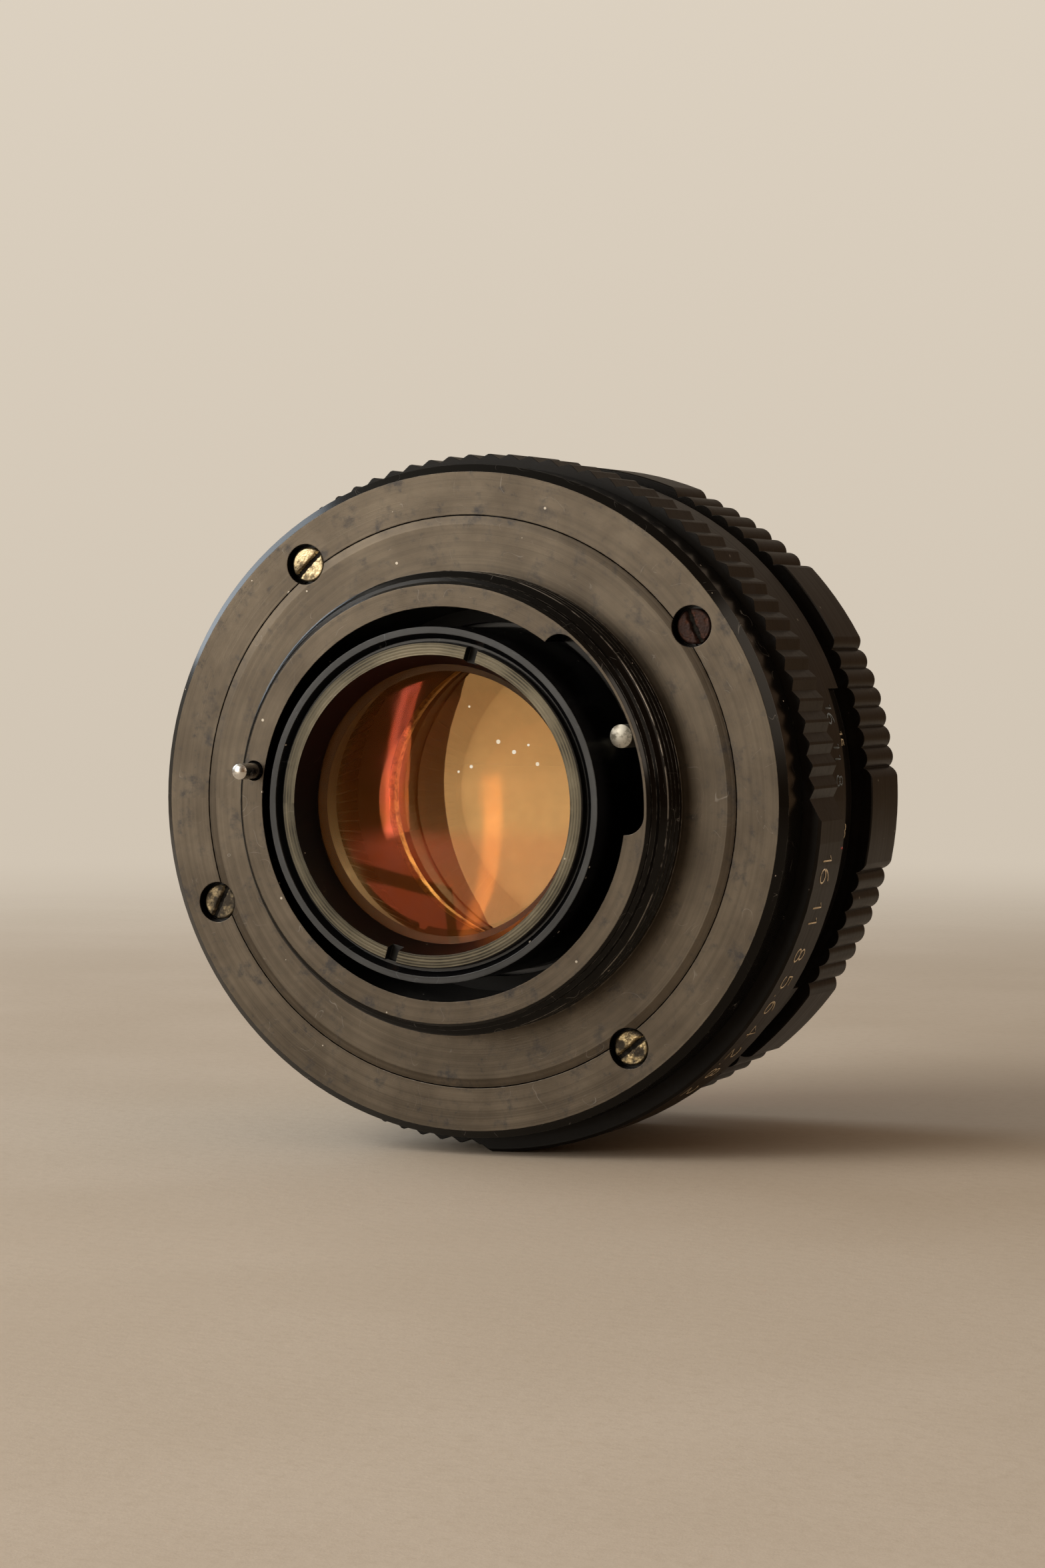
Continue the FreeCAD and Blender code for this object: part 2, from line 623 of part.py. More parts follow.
def sensing_pin():
    """Small sprung plunger beside the bore, pushed in by the camera's flange."""
    tip_y = SENSOR_TIP_Y
    dome_h, dome_r = 0.35, 0.93
    collar_r, tail_r = SENSOR_HOLE_R - 0.04, 0.35
    collar_y = (-1.65, -0.9)
    parts = [axial(SENSOR_PIN_R, SENSOR_R, SENSOR_PHI, tip_y + dome_h, collar_y[0] + RUN)]
    tip = axial(SENSOR_PIN_R, SENSOR_R, SENSOR_PHI, tip_y, tip_y + dome_h)
    parts.append(tip.common(Part.makeSphere(dome_r, polar(SENSOR_R, SENSOR_PHI, tip_y + dome_r))))
    parts.append(axial(collar_r, SENSOR_R, SENSOR_PHI, *collar_y))
    parts.append(axial(tail_r, SENSOR_R, SENSOR_PHI, collar_y[1], 1.2))
    return fuse_all(parts)


def sensing_pin_spring():
    """Return spring of the sensing pin."""
    coil_r, wire_r, turns, length = 0.62, 0.13, 9, 5.4
    return coil(coil_r, wire_r, turns, polar(SENSOR_R, SENSOR_PHI, -0.7), AXIS, length)


def sensing_pin_plug():
    """Plug that closes the sensing pin's hole and seats its spring."""
    return axial(SENSOR_HOLE_R, SENSOR_R, SENSOR_PHI, 4.9, 5.8)


# ---- focusing ----
def helicoid_ring():
    """Female helicoid: trapped by its collar, turned by the focus ring."""
    bore_r = BLOCK_R + RUN
    collar_r, flange_r = 26.6, 28.2
    rear_y = WEB_Y[1] + SEAM
    y0, y1 = COLLAR_Y[0] + SEAM, COLLAR_Y[1] - SEAM
    flange_y = HELICOID_FLANGE_Y
    profile = [(bore_r, rear_y), (HELICOID_R, rear_y), (HELICOID_R, y0), (collar_r, y0), (collar_r, y1)]
    profile += [(HELICOID_R, y1), (HELICOID_R, flange_y[0]), (flange_r, flange_y[0])]
    profile += [(flange_r, flange_y[1]), (bore_r, flange_y[1])]
    body = turned(profile)
    return cut_all(body, [axial(SHANK_R, FOCUS_SCREW_R, phi, 23.5, 27.0) for phi in FOCUS_SCREW_PHI])


def grip_outline():
    """Nine smooth lands with rounded ribs between each pair, as arcs through three points."""
    span = 360.0 / GRIP_LANDS
    ribs = GRIP_FLUTES - 1
    half_land = (span - GRIP_FLUTES * GRIP_FLUTE_PITCH) / 2
    shoulder = GRIP_FLUTE_PITCH / 2
    bulge = 0.55 * shoulder
    bulge_r = GRIP_R - 0.25
    arcs = []
    for i in range(GRIP_LANDS):
        centre = GRIP_FIRST_LAND + i * span
        first_root = centre + half_land + shoulder
        land = [(GRIP_R, centre - half_land), (GRIP_R, centre), (GRIP_R, centre + half_land)]
        arcs.append(land)
        arcs.append([land[2], (bulge_r, centre + half_land + bulge), (GRIP_ROOT_R, first_root)])
        for j in range(ribs):
            root = first_root + j * GRIP_FLUTE_PITCH
            arcs.append([(GRIP_ROOT_R, root), (GRIP_RIB_R, root + shoulder), (GRIP_ROOT_R, root + GRIP_FLUTE_PITCH)])
        last_root = first_root + ribs * GRIP_FLUTE_PITCH
        next_land = centre + span - half_land
        arcs.append([(GRIP_ROOT_R, last_root), (bulge_r, next_land - bulge), (GRIP_R, next_land)])
    return arcs


def focus_ring():
    """Focus ring: distance scale skirt, fluted grip and front lip."""
    y0, y1 = GRIP_Y
    top = GRIP_R + SKIN
    edge = GRIP_CHAMFER
    skirt_in, skirt_out, skirt_y = 28.7, 29.4, DEPTH_WINDOW_Y + 0.2
    shoulder_r, lip_r, mouth_r = 30.2, 28.6, 26.15
    bay_r, bay_y, web_y = 28.0, (27.8, 30.3), HELICOID_FLANGE_Y[1]
    web_r = 24.6
    profile = [(skirt_in, skirt_y), (skirt_out, skirt_y), (skirt_out, y0), (top - edge, y0)]
    profile += [(top, y0 + edge), (top, y1 - edge), (top - edge, y1), (shoulder_r, y1)]
    profile += [(lip_r, FOCUS_FRONT_Y), (mouth_r + 0.25, FOCUS_FRONT_Y), (mouth_r, FOCUS_FRONT_Y - 0.25)]
    profile += [(mouth_r, bay_y[1]), (bay_r, bay_y[1]), (bay_r, bay_y[0])]
    profile += [(web_r, bay_y[0]), (web_r, web_y), (skirt_in, web_y)]
    blank = turned(profile)
    grip = reeded(grip_outline(), y0, y1)
    skirt = Part.makeCylinder(skirt_out, y0 - skirt_y, V(0, skirt_y, 0), AXIS)
    nose = Part.makeCylinder(shoulder_r, FOCUS_FRONT_Y - y1, V(0, y1, 0), AXIS)
    body = blank.common(grip.fuse([skirt, nose]))
    return cut_all(body, [axial(SHANK_R, FOCUS_SCREW_R, phi, 25.0, 29.0) for phi in FOCUS_SCREW_PHI])


def focus_ring_screws():
    """Three screws from the front that fasten the focus ring to the helicoid."""
    head_r, head_h, shank_l, slot_w = 1.3, 0.9, 4.2, 0.4
    screws = []
    for phi in FOCUS_SCREW_PHI:
        top = polar(FOCUS_SCREW_R, phi, 28.7)
        screws.append(slotted_screw(top, V(0, 1, 0), head_r, head_h, SHANK_R, shank_l, 50.0, slot_w))
    return Part.makeCompound(screws)


# ---- lens block ----
def lens_barrel():
    """Sliding barrel with the male helicoid, two key slots and the slot of the iris fork."""
    body = ring(BLOCK_BORE_R, BLOCK_R, *BLOCK_Y)
    key_slot_half, rod_slot_half = KEY_HALF_WIDTH + 0.06, 2.75
    tools = [block(KEY_R[0] - 0.15, 23.0, key_slot_half, 8.0, KEY_Y[1] + 0.3, phi) for phi in KEY_PHI]
    tools.append(block(17.0, 23.0, rod_slot_half, 8.0, 20.4, ROD_PHI))
    for phi in BLOCK_SCREW_PHI:
        tools.append(axial(SHANK_R, BLOCK_SCREW_R, phi, 26.5, 31.0))
    return cut_all(body, tools)


def front_barrel():
    """Outer front barrel with the filter thread."""
    edge, mouth_r, mouth_y = 0.4, 24.7, FRONT_Y - 0.5
    groove_depth, groove_width = 0.4, 0.6
    seat_y, floor_y, rear_y = 36.7, 31.3, BLOCK_Y[1]
    profile = [(BLOCK_BORE_R, rear_y), (FRONT_R, rear_y), (FRONT_R, FRONT_Y - edge), (FRONT_R - edge, FRONT_Y)]
    profile += [(mouth_r, FRONT_Y), (FILTER_R, mouth_y)]
    y = mouth_y - SEAM
    for _ in range(FILTER_TURNS):
        profile += [(FILTER_R, y), (FILTER_R + groove_depth, y - groove_width / 2), (FILTER_R, y - groove_width)]
        y -= FILTER_PITCH
    profile += [(FILTER_R, seat_y), (TRIM_SEAT_R, seat_y), (TRIM_SEAT_R, floor_y), (BLOCK_BORE_R, floor_y)]
    body = turned(profile)
    return cut_all(body, [axial(SHANK_R, BLOCK_SCREW_R, phi, 28.0, 33.0) for phi in BLOCK_SCREW_PHI])


def front_barrel_screws():
    """Three screws that fasten the front barrel to the sliding barrel."""
    head_r, head_h, shank_l, slot_w = 1.3, 0.7, 4.0, 0.4
    screws = []
    for phi in BLOCK_SCREW_PHI:
        top = polar(BLOCK_SCREW_R, phi, 32.0)
        screws.append(slotted_screw(top, V(0, 1, 0), head_r, head_h, SHANK_R, shank_l, 70.0, slot_w))
    return Part.makeCompound(screws)


def front_trim_ring():
    """Plain trim ring round the front glass, with fine anti-reflection steps."""
    outer = TRIM_SEAT_R - SEAM
    rim_r, rim_y = 21.0, 36.3
    foot_r, foot_y = 16.5, 31.7
    ledge_y = 34.9
    profile = [(17.2, 31.35), (21.4, ledge_y), (outer, ledge_y), (outer, rim_y), (rim_r, rim_y)]
    steps = 6
    tread = (rim_r - foot_r) / steps
    rise = (rim_y - foot_y) / steps
    for i in range(1, steps + 1):
        profile += [(rim_r - (i - 1) * tread, rim_y - i * rise), (rim_r - i * tread, rim_y - i * rise)]
    return turned(profile)


def front_cell():
    """Cell that holds the front element and the front cemented pair."""
    rear_y, front_y = 14.0, 31.1
    stop_r, stop_y = 9.9, 15.19
    pair_r, element_r = FRONT_PAIR_R, FRONT_ELEMENT_R
    pair_y, seat_y = FRONT_PAIR_SEAT_Y, 28.8
    mouth_r = FRONT_MOUTH_R
    profile = [(stop_r, rear_y), (BLOCK_BORE_R, rear_y), (BLOCK_BORE_R, front_y), (mouth_r, front_y)]
    profile += [(mouth_r, seat_y), (element_r, seat_y), (element_r, pair_y), (pair_r, pair_y)]
    profile += [(pair_r, stop_y), (stop_r, stop_y)]
    return turned(profile)


def front_element():
    """Front meniscus."""
    r = FRONT_ELEMENT_R
    return glass((27.9, -140.0, r), (32.7, -38.0, r), r)


def front_spacer():
    """Spacer between the front element and the front cemented pair."""
    inner_r, rear_y, front_y = 13.7, 22.37, 26.88
    step_y = FRONT_PAIR_SEAT_Y
    profile = [(inner_r, rear_y), (FRONT_PAIR_R, rear_y), (FRONT_PAIR_R, step_y)]
    return turned(profile + [(FRONT_ELEMENT_R, step_y), (FRONT_ELEMENT_R, front_y), (inner_r, front_y)])


def front_pair_positive():
    """Positive half of the front cemented pair."""
    r = FRONT_PAIR_R
    return glass((21.2, -90.0, r), (27.6, -20.5, r), r)


def front_pair_negative():
    """Negative half of the front cemented pair, hollow towards the iris."""
    r = FRONT_PAIR_R
    return glass((19.2, -14.0, HOLLOW_R), (21.2, -90.0, r), r)


def front_retaining_ring():
    """Slotted ring in front of the front element."""
    inner_r, outer_r = 16.1, FRONT_MOUTH_R
    rear_y, front_y, edge = 29.15, 31.2, 0.4
    profile = [(inner_r, rear_y), (outer_r, rear_y), (outer_r, front_y), (inner_r + edge, front_y)]
    body = turned(profile + [(inner_r, front_y - edge)])
    return cut_all(body, [block(15.0, 18.0, 0.6, 30.4, 32.0, phi) for phi in (60.0, 240.0)])


def rear_cell():
    """Rear cell: the tube seen through the mount, holding the rear glass."""
    rim_y, groove_y, flange_y, front_y = -7.8, -7.2, 9.1, 11.1
    thread_y, stop_r, stop_y = -4.6, 10.0, 10.35
    r = RETAINER_R
    profile = [(r, groove_y), (14.9, groove_y), (15.36, rim_y), (CELL_R, rim_y), (CELL_R, flange_y)]
    profile += [(BLOCK_BORE_R, flange_y), (BLOCK_BORE_R, front_y), (stop_r, front_y), (stop_r, stop_y)]
    profile += [(REAR_PAIR_R, stop_y), (REAR_PAIR_R, REAR_PAIR_SEAT_Y), (REAR_ELEMENT_R, REAR_PAIR_SEAT_Y)]
    profile += [(REAR_ELEMENT_R, thread_y), (r, thread_y)]
    return turned(profile)


def rear_pair_negative():
    """Negative half of the rear cemented pair, hollow towards the iris."""
    r = REAR_PAIR_R
    return glass((5.1, -90.0, r), (6.7, 15.0, HOLLOW_R), r)


def rear_pair_positive():
    """Positive half of the rear cemented pair."""
    r = REAR_PAIR_R
    return glass((-2.3, 21.0, r), (5.1, -90.0, r), r)


def rear_spacer():
    """Spacer between the rear cemented pair and the rear element."""
    return ring(11.75, REAR_ELEMENT_R, -3.22, REAR_PAIR_SEAT_Y)


def rear_element():
    """Rear element, the bulging glass seen from the camera side."""
    r = REAR_ELEMENT_R
    return glass((-6.95, 38.0, r), (-2.65, -120.0, r), r)


def rear_retaining_ring():
    """Retaining ring with two spanner slots; its bore is a black cone down to the glass."""
    r, edge = RETAINER_R, 0.1
    rear_y, front_y, slot_depth, slot_half = -7.96, -4.82, 1.0, 0.55
    profile = [(12.6, front_y), (13.43, rear_y), (r - edge, rear_y), (r, rear_y + edge), (r, front_y)]
    tools = [block(12.0, 15.0, slot_half, rear_y - 1, rear_y + slot_depth, phi) for phi in REAR_SLOT_PHI]
    return cut_all(turned(profile), tools)


# ---- iris ----
def drive_pin_arm():
    """Distance from a blade's pivot to its drive pin, so that ring and blade turn in step."""
    half = math.radians(BLADE_SWING / 2)
    slope = math.tan(math.radians(RING_HALF))
    return PIVOT_R * slope / (math.sin(half) - slope * math.cos(half))


def drive_pin_place(pivot_phi, turn):
    """Where a drive pin stands when its blade has turned from open."""
    direction = pivot_phi + turn - BLADE_SWING / 2
    return polar(PIVOT_R, pivot_phi) + polar(drive_pin_arm(), direction)


def blade_phi(i):
    """Polar angle of a blade's pivot."""
    return 10.0 + 360.0 / BLADES * i


def iris_blade(i):
    """One blade: a crescent with a pivot pin in front and a drive pin behind."""
    inner, outer = 9.9, 13.5
    heel_phi, tail_phi = -2.0, 106.0
    plate_y, ring_y = 13.5, 11.2
    y = BLADE_Y + BLADE_STEP * i
    phi = blade_phi(i)
    pivot = polar(PIVOT_R, phi, y)
    drive = drive_pin_place(phi, 0.0) + V(0, y, 0)
    band = sector(inner, outer, y, y + BLADE_T, phi + heel_phi, phi + tail_phi)
    tip = axial((outer - inner) / 2, (outer + inner) / 2, phi + tail_phi, y, y + BLADE_T)
    heel = axial((outer - inner) / 2, (outer + inner) / 2, phi + heel_phi, y, y + BLADE_T)
    pads = [Part.makeCylinder(0.95, BLADE_T, p, AXIS) for p in (pivot, drive)]
    web = block(12.6, 15.9, 0.9, y, y + BLADE_T, phi)
    pins = [Part.makeCylinder(IRIS_PIN_R, plate_y - y, pivot, AXIS)]
    pins.append(Part.makeCylinder(IRIS_PIN_R, y + BLADE_T - ring_y, drive - V(0, y - ring_y, 0), AXIS))
    return fuse_all([band, tip, heel, web] + pads + pins)


def iris_drive_ring():
    """Ring behind the blades: a radial slot for each blade and a fork round the rod."""
    y0, y1 = IRIS_RING_Y
    fork_half, gap_half, pin_gap_half = 1.75, 0.76, IRIS_PIN_R + 0.05
    body = ring(IRIS_OPEN_R, BLOCK_BORE_R - RUN, y0, y1)
    fork = block(17.4, 20.2, fork_half, y0, y1, ROD_PHI - RING_HALF)
    tools = [block(18.5, 21.0, gap_half, y0 - 1, y1 + 1, ROD_PHI - RING_HALF)]
    for i in range(BLADES):
        tools.append(block(15.25, 16.5, pin_gap_half, y0 - 1, y1 + 1, blade_phi(i) - RING_HALF))
    return cut_all(fuse_all([body, fork]), tools)


def iris_base_plate():
    """Plate in front of the blades that carries their pivots."""
    hole_r = IRIS_PIN_R + 0.03
    body = ring(IRIS_OPEN_R, BLOCK_BORE_R, 12.94, 13.9)
    return cut_all(body, [axial(hole_r, PIVOT_R, blade_phi(i), 12.0, 15.0) for i in range(BLADES)])


def main():
    """Write every piece to its own STEP file."""
    pieces = [mount_plate, rear_cover_ring, mount_screws, main_barrel, depth_scale_ring]
    pieces += [depth_ring_set_screws, guide_keys, guide_key_screws, helicoid_retaining_ring]
    pieces += [click_spring, click_ball, aperture_ring, aperture_coupling_arm, stop_down_pin]
    pieces += [lever, lever_bracket, lever_pivot, bracket_screw, stop_down_ring, stop_ring_screws]
    pieces += [spring_post, return_spring, sensing_pin, sensing_pin_spring, sensing_pin_plug]
    pieces += [helicoid_ring, focus_ring, focus_ring_screws, lens_barrel, front_barrel]
    pieces += [front_barrel_screws, front_trim_ring, front_cell, front_element, front_spacer]
    pieces += [front_pair_positive, front_pair_negative, front_retaining_ring, rear_cell]
    pieces += [rear_pair_negative, rear_pair_positive, rear_spacer, rear_element]
    pieces += [rear_retaining_ring, iris_drive_ring, iris_base_plate]
    os.makedirs("parts", exist_ok=True)
    for piece in pieces:
        piece().exportStep(f"parts/{piece.__name__}.step")
    for i in range(BLADES):
        iris_blade(i).exportStep(f"parts/iris_blade_{i + 1}.step")


main()
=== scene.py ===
import math

import bmesh
import bpy
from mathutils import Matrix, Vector, noise


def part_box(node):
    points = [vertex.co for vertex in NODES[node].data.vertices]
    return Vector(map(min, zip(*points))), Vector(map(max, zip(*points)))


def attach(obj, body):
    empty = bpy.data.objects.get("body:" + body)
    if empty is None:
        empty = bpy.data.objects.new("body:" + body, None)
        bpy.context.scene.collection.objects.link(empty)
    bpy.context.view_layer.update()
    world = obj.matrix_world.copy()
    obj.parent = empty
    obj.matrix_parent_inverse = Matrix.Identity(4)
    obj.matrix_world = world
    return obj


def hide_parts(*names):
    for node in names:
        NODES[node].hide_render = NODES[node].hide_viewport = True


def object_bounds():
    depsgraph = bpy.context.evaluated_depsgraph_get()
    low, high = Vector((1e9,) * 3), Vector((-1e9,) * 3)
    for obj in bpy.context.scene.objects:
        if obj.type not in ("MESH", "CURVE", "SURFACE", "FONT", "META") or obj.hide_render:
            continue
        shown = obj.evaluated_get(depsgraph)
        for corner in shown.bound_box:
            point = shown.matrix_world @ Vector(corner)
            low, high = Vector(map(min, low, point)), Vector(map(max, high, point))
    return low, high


# A screw-mount prime lens lying on its side, seen from the camera end.
# Frame: metres, optical axis along Y, camera end at -Y, front glass at +Y, Z up.
# Polar angles run from +X towards +Z, counter-clockwise seen from the camera end.
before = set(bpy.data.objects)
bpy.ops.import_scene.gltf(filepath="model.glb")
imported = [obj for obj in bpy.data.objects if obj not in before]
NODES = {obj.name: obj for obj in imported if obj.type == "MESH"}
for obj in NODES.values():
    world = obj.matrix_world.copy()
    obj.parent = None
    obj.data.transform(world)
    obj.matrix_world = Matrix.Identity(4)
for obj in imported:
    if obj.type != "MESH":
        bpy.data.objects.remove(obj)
cad_low, cad_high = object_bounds()
CAD_BOX = [list(cad_low), list(cad_high)]
MM = 0.001


# ---- points and meshes ----
def polar(r, phi, y):
    """A point in metres from radius and height in millimetres and polar angle in degrees."""
    a = math.radians(phi)
    return Vector((r * math.cos(a), y, r * math.sin(a))) * MM


def new_mesh(name, verts, faces, smooth=True):
    """A mesh object from its vertices and faces."""
    mesh = bpy.data.meshes.new(name)
    mesh.from_pydata([tuple(v) for v in verts], [], faces)
    mesh.update()
    for polygon in mesh.polygons:
        polygon.use_smooth = smooth
    made = bpy.data.objects.new(name, mesh)
    bpy.context.scene.collection.objects.link(made)
    return made


def cap(faces, apex, rings, segments):
    """Adds the faces of a round cap whose loops follow its apex; returns the first vertex of its rim."""
    for k in range(segments):
        n = (k + 1) % segments
        faces.append((apex, apex + 1 + k, apex + 1 + n))
        for j in range(rings - 1):
            a = apex + 1 + j * segments
            faces.append((a + k, a + segments + k, a + segments + n, a + n))
    return apex + 1 + (rings - 1) * segments


def bridge(faces, a, b, segments):
    """Adds the faces between two loops of vertices that start at a and b."""
    for k in range(segments):
        n = (k + 1) % segments
        faces.append((a + k, b + k, b + n, a + n))


def outward(obj):
    """Turns every face of a closed mesh outwards."""
    bm = bmesh.new()
    bm.from_mesh(obj.data)
    bmesh.ops.recalc_face_normals(bm, faces=bm.faces)
    bm.to_mesh(obj.data)
    bm.free()
    return obj


# ---- node materials ----
class Graph:
    """A node material being wired up; most calls return output sockets. Lengths are in millimetres."""

    def __init__(self, name, tree=None):
        self.material = None
        if tree is None:
            self.material = bpy.data.materials.new(name)
            self.material.use_nodes = True
            tree = self.material.node_tree
        self.tree = tree
        self.tree.nodes.clear()

    def node(self, kind, inputs=None, out=0, **settings):
        """A new node with its settings and inputs, as the output asked for."""
        made = self.tree.nodes.new("ShaderNode" + kind)
        for key, value in settings.items():
            setattr(made, key, value)
        for key, value in (inputs or {}).items():
            self.feed(made.inputs[key], value)
        return made.outputs[out]

    def feed(self, socket, value):
        """Links a socket to another one, or sets its value."""
        if isinstance(value, bpy.types.NodeSocket):
            self.tree.links.new(value, socket)
        elif isinstance(value, tuple) and len(value) == 3 and socket.type == "RGBA":
            socket.default_value = (*value, 1.0)
        else:
            socket.default_value = value

    def math(self, operation, a, b=0.0, clamp=False):
        return self.node("Math", {0: a, 1: b}, operation=operation, use_clamp=clamp)

    def plus(self, a, b, clamp=False):
        return self.math("ADD", a, b, clamp)

    def minus(self, a, b, clamp=False):
        return self.math("SUBTRACT", a, b, clamp)

    def times(self, a, b, clamp=False):
        return self.math("MULTIPLY", a, b, clamp)

    def length(self, a, b):
        """The length of a vector in a plane."""
        return self.math("SQRT", self.plus(self.times(a, a), self.times(b, b)))

    def ramp(self, value, low, high, to_low=0.0, to_high=1.0, kind="SMOOTHSTEP"):
        """Maps low to to_low and high to to_high, and stays level beyond them."""
        inputs = {"Value": value, 1: low, 2: high, 3: to_low, 4: to_high}
        return self.node("MapRange", inputs, interpolation_type=kind, clamp=True)

    def mix(self, factor, a, b):
        """A colour between a at factor 0 and b at factor 1."""
        made = self.tree.nodes.new("ShaderNodeMix")
        made.data_type = "RGBA"
        self.feed(made.inputs[0], factor)
        self.feed(made.inputs[6], a)
        self.feed(made.inputs[7], b)
        return made.outputs[2]

    def blend(self, factor, a, b):
        return self.node("MixShader", {0: factor, 1: a, 2: b})

    def combine(self, x, y, z):
        return self.node("CombineXYZ", {0: x, 1: y, 2: z})

    def place(self):
        """Object coordinates in millimetres."""
        here = self.node("TexCoord", out="Object")
        return self.node("VectorMath", {0: here, 3: 1 / MM}, operation="SCALE")

    def split(self, vector):
        made = self.tree.nodes.new("ShaderNodeSeparateXYZ")
        self.feed(made.inputs[0], vector)
        return made.outputs

    def lathe(self):
        """Radius, polar angle in radians and place along the axis, in millimetres."""
        x, y, z = self.split(self.place())
        return self.length(x, z), self.math("ARCTAN2", z, x), y

    def noise(self, vector, scale, detail=3.0, rough=0.5, out=0):
        inputs = {"Vector": vector, "Scale": scale, "Detail": detail, "Roughness": rough}
        return self.node("TexNoise", inputs, out=out)

    def turning(self, per_mm, drift=0.6):
        """Lathe marks: noise that changes along the profile and hardly along the turn."""
        radius, angle, y = self.lathe()
        vector = self.combine(self.times(radius, per_mm), self.times(angle, drift), self.times(y, per_mm))
        return self.noise(vector, 1.0, 2.0, 0.6)

    def specks(self, per_mm, size, seed):
        """Small round specks of dust, 1 inside a speck."""
        moved = self.node("VectorMath", {0: self.place(), 1: (seed, seed * 1.7, -seed)}, operation="ADD")
        cell = self.tree.nodes.new("ShaderNodeTexVoronoi")
        self.feed(cell.inputs["Vector"], moved)
        self.feed(cell.inputs["Scale"], per_mm)
        chance = self.split(cell.outputs["Color"])[0]
        limit = self.times(self.ramp(chance, 0.55, 1.0), size)
        return self.math("LESS_THAN", cell.outputs["Distance"], limit)

    def edges(self, radius, amount):
        """1 on worn edges, 0 on flats, broken up by noise; and the rounded normal."""
        rounded = self.node("Bevel", {"Radius": radius * MM}, samples=6)
        flat = self.node("NewGeometry", out="Normal")
        same = self.node("VectorMath", {0: rounded, 1: flat}, operation="DOT_PRODUCT", out="Value")
        turn = self.minus(1.0, same)
        patchy = self.ramp(self.noise(self.place(), 1.1, 5.0, 0.65), 0.42, 0.72)
        edge = self.ramp(turn, 0.02, 0.16)
        return self.times(self.times(edge, patchy), amount), rounded

    def axial_face(self):
        """1 on faces square to the optical axis, 0 on walls and bevels."""
        facing = self.math("ABSOLUTE", self.split(self.node("NewGeometry", out="Normal"))[1])
        return self.ramp(facing, 0.90, 0.96, kind="LINEAR")

    def between(self, value, low, high):
        """1 where a value lies between two limits."""
        above = self.math("GREATER_THAN", value, low)
        return self.times(above, self.math("LESS_THAN", value, high))

    def lines(self, pitch, wander=1.4):
        """Regular lathe lines along the profile, slightly uneven, 0 to 1."""
        radius, angle, y = self.lathe()
        along = self.plus(radius, y)
        vector = self.combine(self.times(radius, 2.0), self.times(angle, 0.4), y)
        drift = self.times(self.noise(vector, 1.0, 2.0), wander)
        phase = self.plus(self.times(along, 2 * math.pi / pitch), drift)
        return self.plus(self.times(self.math("SINE", phase), 0.5), 0.5)

    def bump(self, height, distance, strength, normal=None):
        inputs = {"Strength": strength, "Distance": distance * MM, "Height": height}
        if normal is not None:
            inputs["Normal"] = normal
        return self.node("Bump", inputs)

    def principled(self, **inputs):
        named = {key.replace("_", " "): value for key, value in inputs.items()}
        return self.node("BsdfPrincipled", named)

    def done(self, surface):
        """Wires the surface to the output and returns the material, or nothing for the world."""
        target = "ShaderNodeOutputMaterial" if self.material else "ShaderNodeOutputWorld"
        self.tree.links.new(surface, self.tree.nodes.new(target).inputs[0])
        return self.material


TURNING_PER_MM = 9.0
STAIN_COLOR = (0.022, 0.026, 0.034)
DUST_COLOR = (0.42, 0.38, 0.32)
# The raised seating disc of the mount and the crests of its thread, in millimetres.
SEAT_RADII, SEAT_STEP_Y = (22.0, 30.0), (-0.05, 0.20)
CREST_Y = (-5.7, -3.3)


def scratches(g):
    """Thin wandering scratches, 1 on a scratch."""
    warp = g.noise(g.place(), 0.12, 2.0, 0.5, out="Color")
    moved = g.node("VectorMath", {0: g.place(), 1: warp, 2: (4.0, 4.0, 4.0)}, operation="MULTIPLY_ADD")
    wave = g.noise(moved, 0.35, 1.0, 0.4)
    line = g.math("ABSOLUTE", g.minus(wave, 0.5))
    thin = g.minus(1.0, g.ramp(line, 0.0008, 0.0032), clamp=True)
    gate = g.ramp(g.noise(g.place(), 0.5, 2.0, 0.5), 0.52, 0.60)
    return g.times(thin, gate)


def stains(g, cloud):
    """Broad stains, with small blots where the clouds are thin, 0 to 1."""
    stain = g.ramp(g.noise(g.place(), 0.33, 6.0, 0.72), 0.52, 0.74)
    blot = g.ramp(g.noise(g.place(), 1.0, 6.0, 0.75), 0.54, 0.72)
    blot = g.times(g.times(blot, g.ramp(cloud, 0.62, 0.40)), 0.8)
    return g.math("MAXIMUM", stain, blot)


def worn_faces(g, radius, y, shown):
    """1 on axial faces between the shown limits in y and on the step of the seating disc, 0 elsewhere."""
    seen = 0.0
    for low, high in shown:
        seen = g.math("MAXIMUM", seen, g.between(y, low, high))
    step = g.times(g.between(radius, *SEAT_RADII), g.between(y, *SEAT_STEP_Y))
    return g.math("MAXIMUM", g.times(g.axial_face(), seen), step)


def rubbed_crests(g, radius, y, crest, worn):
    """0 to 0.7 where the thread crests between two radii are rubbed, none on worn faces."""
    rubbed = g.ramp(g.noise(g.place(), 0.45, 3.0, 0.6), 0.42, 0.60)
    rubbed = g.times(rubbed, g.times(g.between(radius, *crest), g.between(y, *CREST_Y)))
    return g.times(rubbed, g.minus(0.7, worn), clamp=True)


